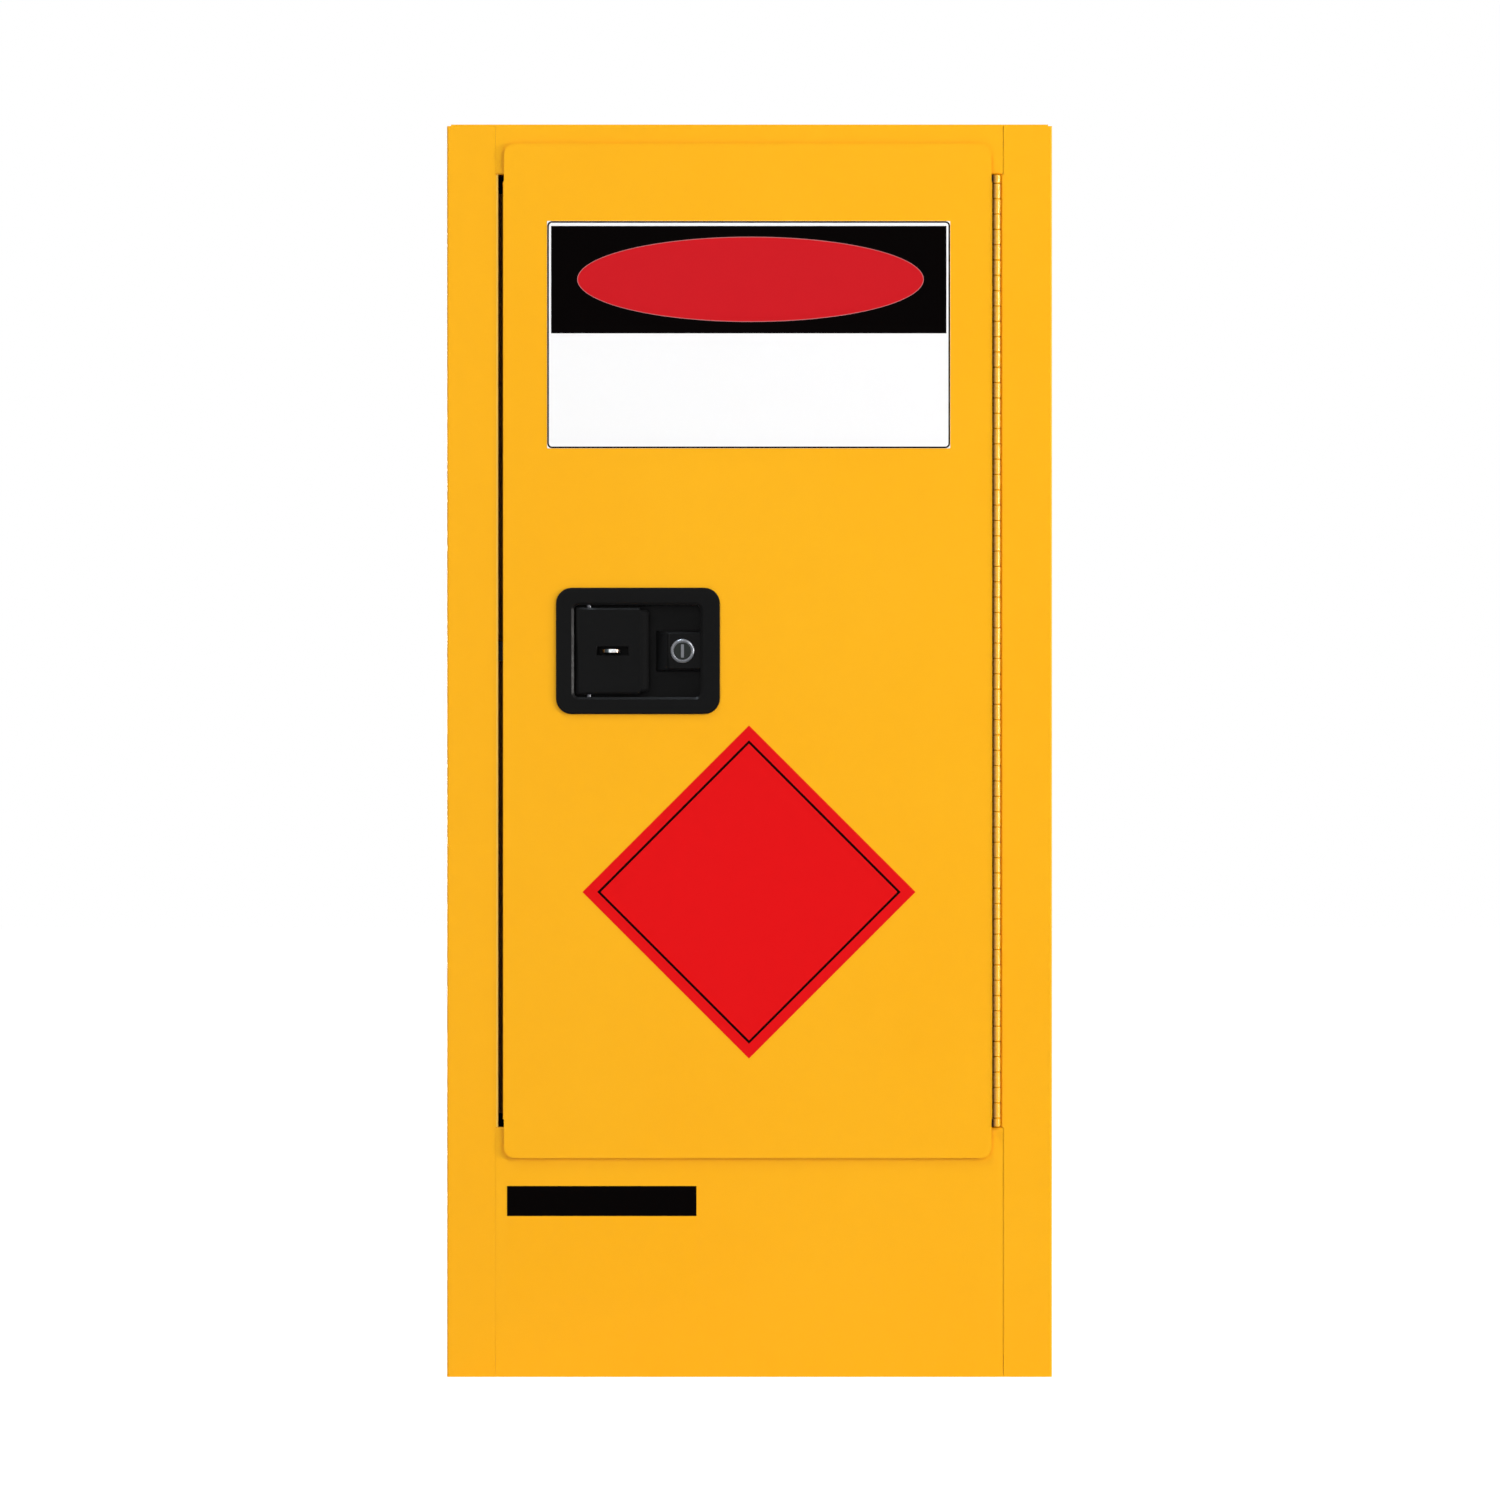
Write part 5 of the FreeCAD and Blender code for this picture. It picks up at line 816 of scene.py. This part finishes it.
BRASSED, PAINTED_SHADE_STEEL = (0.42, 0.2, 0.04, 1.0), (0.05, 0.06, 0.065, 1.0)
PAINTED_HIGHLIGHT_STEEL, DULL_BROWN_END = (0.9, 0.92, 0.93, 1.0), (0.3, 0.24, 0.2, 1.0)
eye_steel, tree, shader = uneven_finish("eye_steel", (0.3, 0.3, 0.3, 1.0), (0.2, 0.3), 500.0, metallic=1.0)
# Painted light: a dark band of painted shade left of the middle, and a bright painted highlight across the
# middle.
eye_painted_light_bands = stripes(tree, EYE_X, (
    (0.0, BRASSED), (0.08, BRASSED), (0.14, PAINTED_SHADE_STEEL), (0.34, PAINTED_SHADE_STEEL), (0.42, PAINTED_HIGHLIGHT_STEEL), (0.72, PAINTED_HIGHLIGHT_STEEL),
    (0.8, DULL_BROWN_END), (1.0, DULL_BROWN_END),
))
tree.links.new(eye_painted_light_bands, shader.inputs["Base Color"])
eye = new_piece("padlock_eye_tongue", [wrap(eye_loops, joined=True)], eye_steel)
soften(eye, 0.0005, 3)
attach(eye, "door")
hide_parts("padlock_eye")

# Cylinder lock: a turned body with a polished domed collar, seated on the boss. The plug in it has a wide
# dark face, with a steel shutter a little way down its upright key slot.
LOCK_X = -0.0554
LOCK_CENTRE = (LOCK_X, 0.0, LATCH_LEVEL)
INWARD = (0.0, 1.0, 0.0)
COLLAR = (
    (0.0075, 0.0), (0.0099, 0.0), (0.0099, 0.0002), (0.0096, 0.0005), (0.0092, 0.0008), (0.0087, 0.0011),
    (0.0083, 0.0012), (0.0078, 0.0011), (0.0075, 0.0008),
)
BODY_BORE, BODY_RADIUS, BODY_BACK = 0.0062, 0.0078, FRONT + 0.0272
CHROME = (0.19, 0.195, 0.21, 1.0)
chrome, tree, shader = uneven_finish("dark_chrome", CHROME, (0.29, 0.36), 500.0, metallic=1.0)
collar = turned([(radius, BOSS_TOP - rise) for radius, rise in COLLAR], LOCK_CENTRE, INWARD, count=64)
barrel = turned(
    [(BODY_BORE, BOSS_TOP), (BODY_RADIUS, BOSS_TOP), (BODY_RADIUS, BODY_BACK), (BODY_BORE, BODY_BACK)],
    LOCK_CENTRE, INWARD, count=48,
)
lock_body = new_piece("lock_collar", [collar, barrel], chrome)
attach(lock_body, "door")
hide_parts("lock_body")

PLUG_FACE, PLUG_BACK, HEAD_BACK = BOSS_TOP - 0.0014, FRONT + 0.0276, BOSS_TOP - 0.0003
HEAD_RADIUS, PLUG_RADIUS, HEAD_CHAMFER = 0.0072, 0.006, 0.0003
KEY_X, KEY_Z, KEY_ROUND, SHUTTER_DEPTH = about(LOCK_X, 0.00125), about(LATCH_LEVEL, 0.0055), 0.0006, 0.0009
PLUG_STEEL, SHUTTER_STEEL = (0.026, 0.029, 0.027, 1.0), (0.07, 0.078, 0.072, 1.0)
plug_steel, tree, shader = uneven_finish("plug_steel", PLUG_STEEL, (0.28, 0.4), 900.0, metallic=1.0)
shutter_steel, tree, shader = uneven_finish(
    "shutter_steel", SHUTTER_STEEL, (0.4, 0.6), 900.0, metallic=1.0, stretch=(1.0, 1.0, 0.3)
)


def plug_ring(radius, y):
    """A circle with as many points as the key slot's outline."""
    angle = (np.arange(4 * CORNER_POINTS) + 0.5) * np.pi / (2 * CORNER_POINTS)
    x, z = LOCK_X + radius * np.cos(angle), LATCH_LEVEL + radius * np.sin(angle)
    return np.stack([x, np.full(angle.size, y), z], axis=-1)


plug_loops = np.stack([
    plug_ring(PLUG_RADIUS, PLUG_BACK), plug_ring(PLUG_RADIUS, HEAD_BACK), plug_ring(HEAD_RADIUS, HEAD_BACK),
    plug_ring(HEAD_RADIUS, PLUG_FACE + HEAD_CHAMFER), plug_ring(HEAD_RADIUS - HEAD_CHAMFER, PLUG_FACE),
    rounded_rectangle(KEY_X, KEY_Z, KEY_ROUND, PLUG_FACE),
    rounded_rectangle(KEY_X, KEY_Z, KEY_ROUND, PLUG_FACE + SHUTTER_DEPTH),
])
plug_shell = wrap(plug_loops, inks=[0, 0, 0, 0, 0, 0, 1])
plug = new_piece("lock_plug_slotted", [plug_shell], plug_steel, shutter_steel)
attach(plug, "lock_plug")
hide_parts("lock_plug")

# Closer: a satin aluminium tube from the ceiling's bracket, and a steel rod from the door's, each with an
# eye on its pin. The rod and its piston slide in through the gland in the tube's end as the door swings.
CLOSER_LEVEL = 0.96
CLOSER_CIRCLE, FRAME_OFFSET, DOOR_OFFSET = 0.345, 0.085, 0.0544
frame_reach = math.sqrt(CLOSER_CIRCLE ** 2 - FRAME_OFFSET ** 2)
door_reach = math.sqrt(CLOSER_CIRCLE ** 2 - DOOR_OFFSET ** 2)
frame_pivot = np.array([HINGE_X - FRAME_OFFSET, HINGE_Y + frame_reach, CLOSER_LEVEL])
door_pivot = np.array([HINGE_X - door_reach, HINGE_Y + DOOR_OFFSET, CLOSER_LEVEL])
TUBE_RADIUS, TUBE_START, TUBE_END, TUBE_NECK = 0.0095, 0.014, 0.355, 0.016
TUBE_WALL, TUBE_BOTTOM, TUBE_EDGE, GLAND = 0.002, 0.003, 0.0015, 0.006
GROOVE_NEAR, GROOVE_FAR, GROOVE_DEPTH = TUBE_END - 0.009, TUBE_END - 0.0116, 0.0006
ROD_RADIUS, ROD_START, ROD_END, ROD_NECK, ROD_PLAY = 0.004, 0.0085, 0.344, 0.012, 0.0006
PISTON_RADIUS, PISTON_LENGTH = 0.007, 0.010
EYE_REACH, PIN_BORE, EYE_TALL, EYE_CHAMFER = 0.009, 0.0041, 0.006, 0.0005
NECK_START, NECK_HALF = 0.007, 0.0042
CENTRE_DOT = 0.0004


def strut_eye(pivot, other, neck_end):
    """A turned eye about its pivot pin, and the square neck from it along the strut."""
    along = (other - pivot) / np.linalg.norm(other - pivot)
    aside = np.array([-along[1], along[0], 0.0])
    rim = EYE_REACH - EYE_CHAMFER
    bottom, top = -EYE_TALL, EYE_TALL
    ring = turned(
        [(PIN_BORE, bottom), (rim, bottom), (EYE_REACH, bottom + EYE_CHAMFER), (EYE_REACH, top - EYE_CHAMFER),
         (rim, top), (PIN_BORE, top)],
        pivot, UP, joined=True,
    )
    square = np.array([(-1, -1), (1, -1), (1, 1), (-1, 1)]) * NECK_HALF
    section = square[:, :1] * aside + square[:, 1:] * UP
    neck = wrap(np.stack([pivot + along * distance + section for distance in (NECK_START, neck_end)]))
    return [ring, neck]


bore, gland_bore = TUBE_RADIUS - TUBE_WALL, ROD_RADIUS + ROD_PLAY
tube_profile = [
    (CENTRE_DOT, TUBE_START + TUBE_BOTTOM), (bore, TUBE_START + TUBE_BOTTOM), (bore, TUBE_END - GLAND),
    (gland_bore, TUBE_END - GLAND), (gland_bore, TUBE_END), (TUBE_RADIUS - TUBE_EDGE, TUBE_END),
    (TUBE_RADIUS, TUBE_END - TUBE_EDGE), (TUBE_RADIUS, GROOVE_NEAR),
    (TUBE_RADIUS - GROOVE_DEPTH, GROOVE_NEAR - GROOVE_DEPTH),
    (TUBE_RADIUS - GROOVE_DEPTH, GROOVE_FAR + GROOVE_DEPTH),
    (TUBE_RADIUS, GROOVE_FAR), (TUBE_RADIUS, TUBE_START + TUBE_EDGE), (TUBE_RADIUS - TUBE_EDGE, TUBE_START),
    (CENTRE_DOT, TUBE_START),
]
aluminium, tree, shader = uneven_finish(
    "satin_aluminium", (0.7, 0.71, 0.72, 1.0), (0.28, 0.42), 300.0, metallic=1.0
)
closer_tube = turned(tube_profile, frame_pivot, door_pivot - frame_pivot)
cylinder = new_piece(
    "closer_tube", [closer_tube, *strut_eye(frame_pivot, door_pivot, TUBE_NECK)], aluminium
)
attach(cylinder, "closer_cylinder")
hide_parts("closer_cylinder")
shaft = new_piece(
    "closer_shaft",
    [
        rod(ROD_RADIUS, ROD_START, ROD_END - PISTON_LENGTH / 2, door_pivot, frame_pivot - door_pivot),
        rod(PISTON_RADIUS, ROD_END - PISTON_LENGTH, ROD_END, door_pivot, frame_pivot - door_pivot),
        *strut_eye(door_pivot, frame_pivot, ROD_NECK),
    ],
    zinc,
)
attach(shaft, "closer_rod")
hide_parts("closer_rod")

# Vent bungs: yellow plastic plugs that screw into the ducts, flush with the sides. Each is a round cup with
# softened rims and a finger bar moulded across its hollow.
SIDE, VENT_Y = 0.25, 0.04
BUNGS = (("left_vent_bung", -1, 0.262), ("right_vent_bung", 1, 0.925))
BUNG_RADIUS, HOLLOW_RADIUS, BUNG_DEPTH, HOLLOW_DEPTH = 0.025, 0.0214, 0.016, 0.012
FLUSH, RIM_ROUND, FOOT_ROUND = 0.0004, 0.0006, 0.0008
GRIP_HALF_WIDTH, GRIP_HALF_HEIGHT, GRIP_TOP, GRIP_FOOT = 0.004, 0.0212, 0.0015, HOLLOW_DEPTH + 0.0005
bung_plastic, tree, shader = new_finish("bung_plastic", colour(250, 178, 30), 0.5, specular=0.3)
relief(tree, noise(tree, 900.0), 0.00004, shader)
cup = [
    (CENTRE_DOT, -BUNG_DEPTH), (BUNG_RADIUS - FOOT_ROUND, -BUNG_DEPTH),
    (BUNG_RADIUS, FOOT_ROUND - BUNG_DEPTH), (BUNG_RADIUS, -FLUSH - RIM_ROUND),
    (BUNG_RADIUS - RIM_ROUND, -FLUSH), (HOLLOW_RADIUS + RIM_ROUND, -FLUSH),
    (HOLLOW_RADIUS, -FLUSH - RIM_ROUND), (HOLLOW_RADIUS, -HOLLOW_DEPTH), (CENTRE_DOT, -HOLLOW_DEPTH),
]
for body, sign, level in BUNGS:
    grip = block(
        sorted((sign * (SIDE - GRIP_FOOT), sign * (SIDE - GRIP_TOP))),
        about(VENT_Y, GRIP_HALF_WIDTH), about(level, GRIP_HALF_HEIGHT),
    )
    plug_cup = turned(cup, (sign * SIDE, VENT_Y, level), (sign, 0.0, 0.0), count=48)
    bung = new_piece(f"{body}_moulding", [plug_cup, grip], bung_plastic)
    soften(bung, 0.0006)
    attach(bung, body)
    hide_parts(body)

# Earth stud: a brass screw with a hexagon head inside the back, low on the left, held by a nut on the
# outside. The thread on its free end is drawn as rings, each from root to crest.
BACK = 0.2775
STUD_PLACE = (-0.195, 0.0, 0.09)
STUD_RADIUS, ROOT_RADIUS, THREAD_PITCH = 0.004, 0.0034, 0.00125
SHANK_RADIUS, SHANK_END = STUD_RADIUS - 0.0003, BACK + 0.005
THREAD_START, STUD_END, TIP_LAND, TIP_CHAMFER = BACK + 0.006, BACK + 0.016, 0.0002, 0.0003
STUD_HEAD_Y, STUD_HEAD_RADIUS, STUD_HEAD_EDGE, HEXAGON = (BACK - 0.0062, BACK - 0.0012), 0.0074, 0.0006, 6
brass, tree, shader = uneven_finish("earth_brass", (0.72, 0.52, 0.22, 1.0), (0.24, 0.4), 500.0, metallic=1.0)
crests = np.arange(THREAD_START + THREAD_PITCH / 2, STUD_END - THREAD_PITCH / 2, THREAD_PITCH)
thread = [
    (radius, crest + step)
    for crest in crests for radius, step in ((ROOT_RADIUS, -THREAD_PITCH / 2), (STUD_RADIUS, 0.0))
]
stud_profile = [
    (SHANK_RADIUS, STUD_HEAD_Y[0]), (SHANK_RADIUS, SHANK_END), *thread,
    (ROOT_RADIUS, STUD_END - TIP_LAND), (ROOT_RADIUS - TIP_CHAMFER, STUD_END),
]
stud_head = turned(
    [(STUD_HEAD_RADIUS - STUD_HEAD_EDGE, STUD_HEAD_Y[0]), (STUD_HEAD_RADIUS, STUD_HEAD_Y[0] + STUD_HEAD_EDGE),
     (STUD_HEAD_RADIUS, STUD_HEAD_Y[1])],
    STUD_PLACE, INWARD, HEXAGON,
)
stud_shank = turned(stud_profile, STUD_PLACE, INWARD, count=32)
stud = new_piece("earth_stud_threaded", [stud_shank, stud_head], brass)
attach(stud, "cabinet")
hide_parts("earth_stud")
dress(brass, "earth_nut")
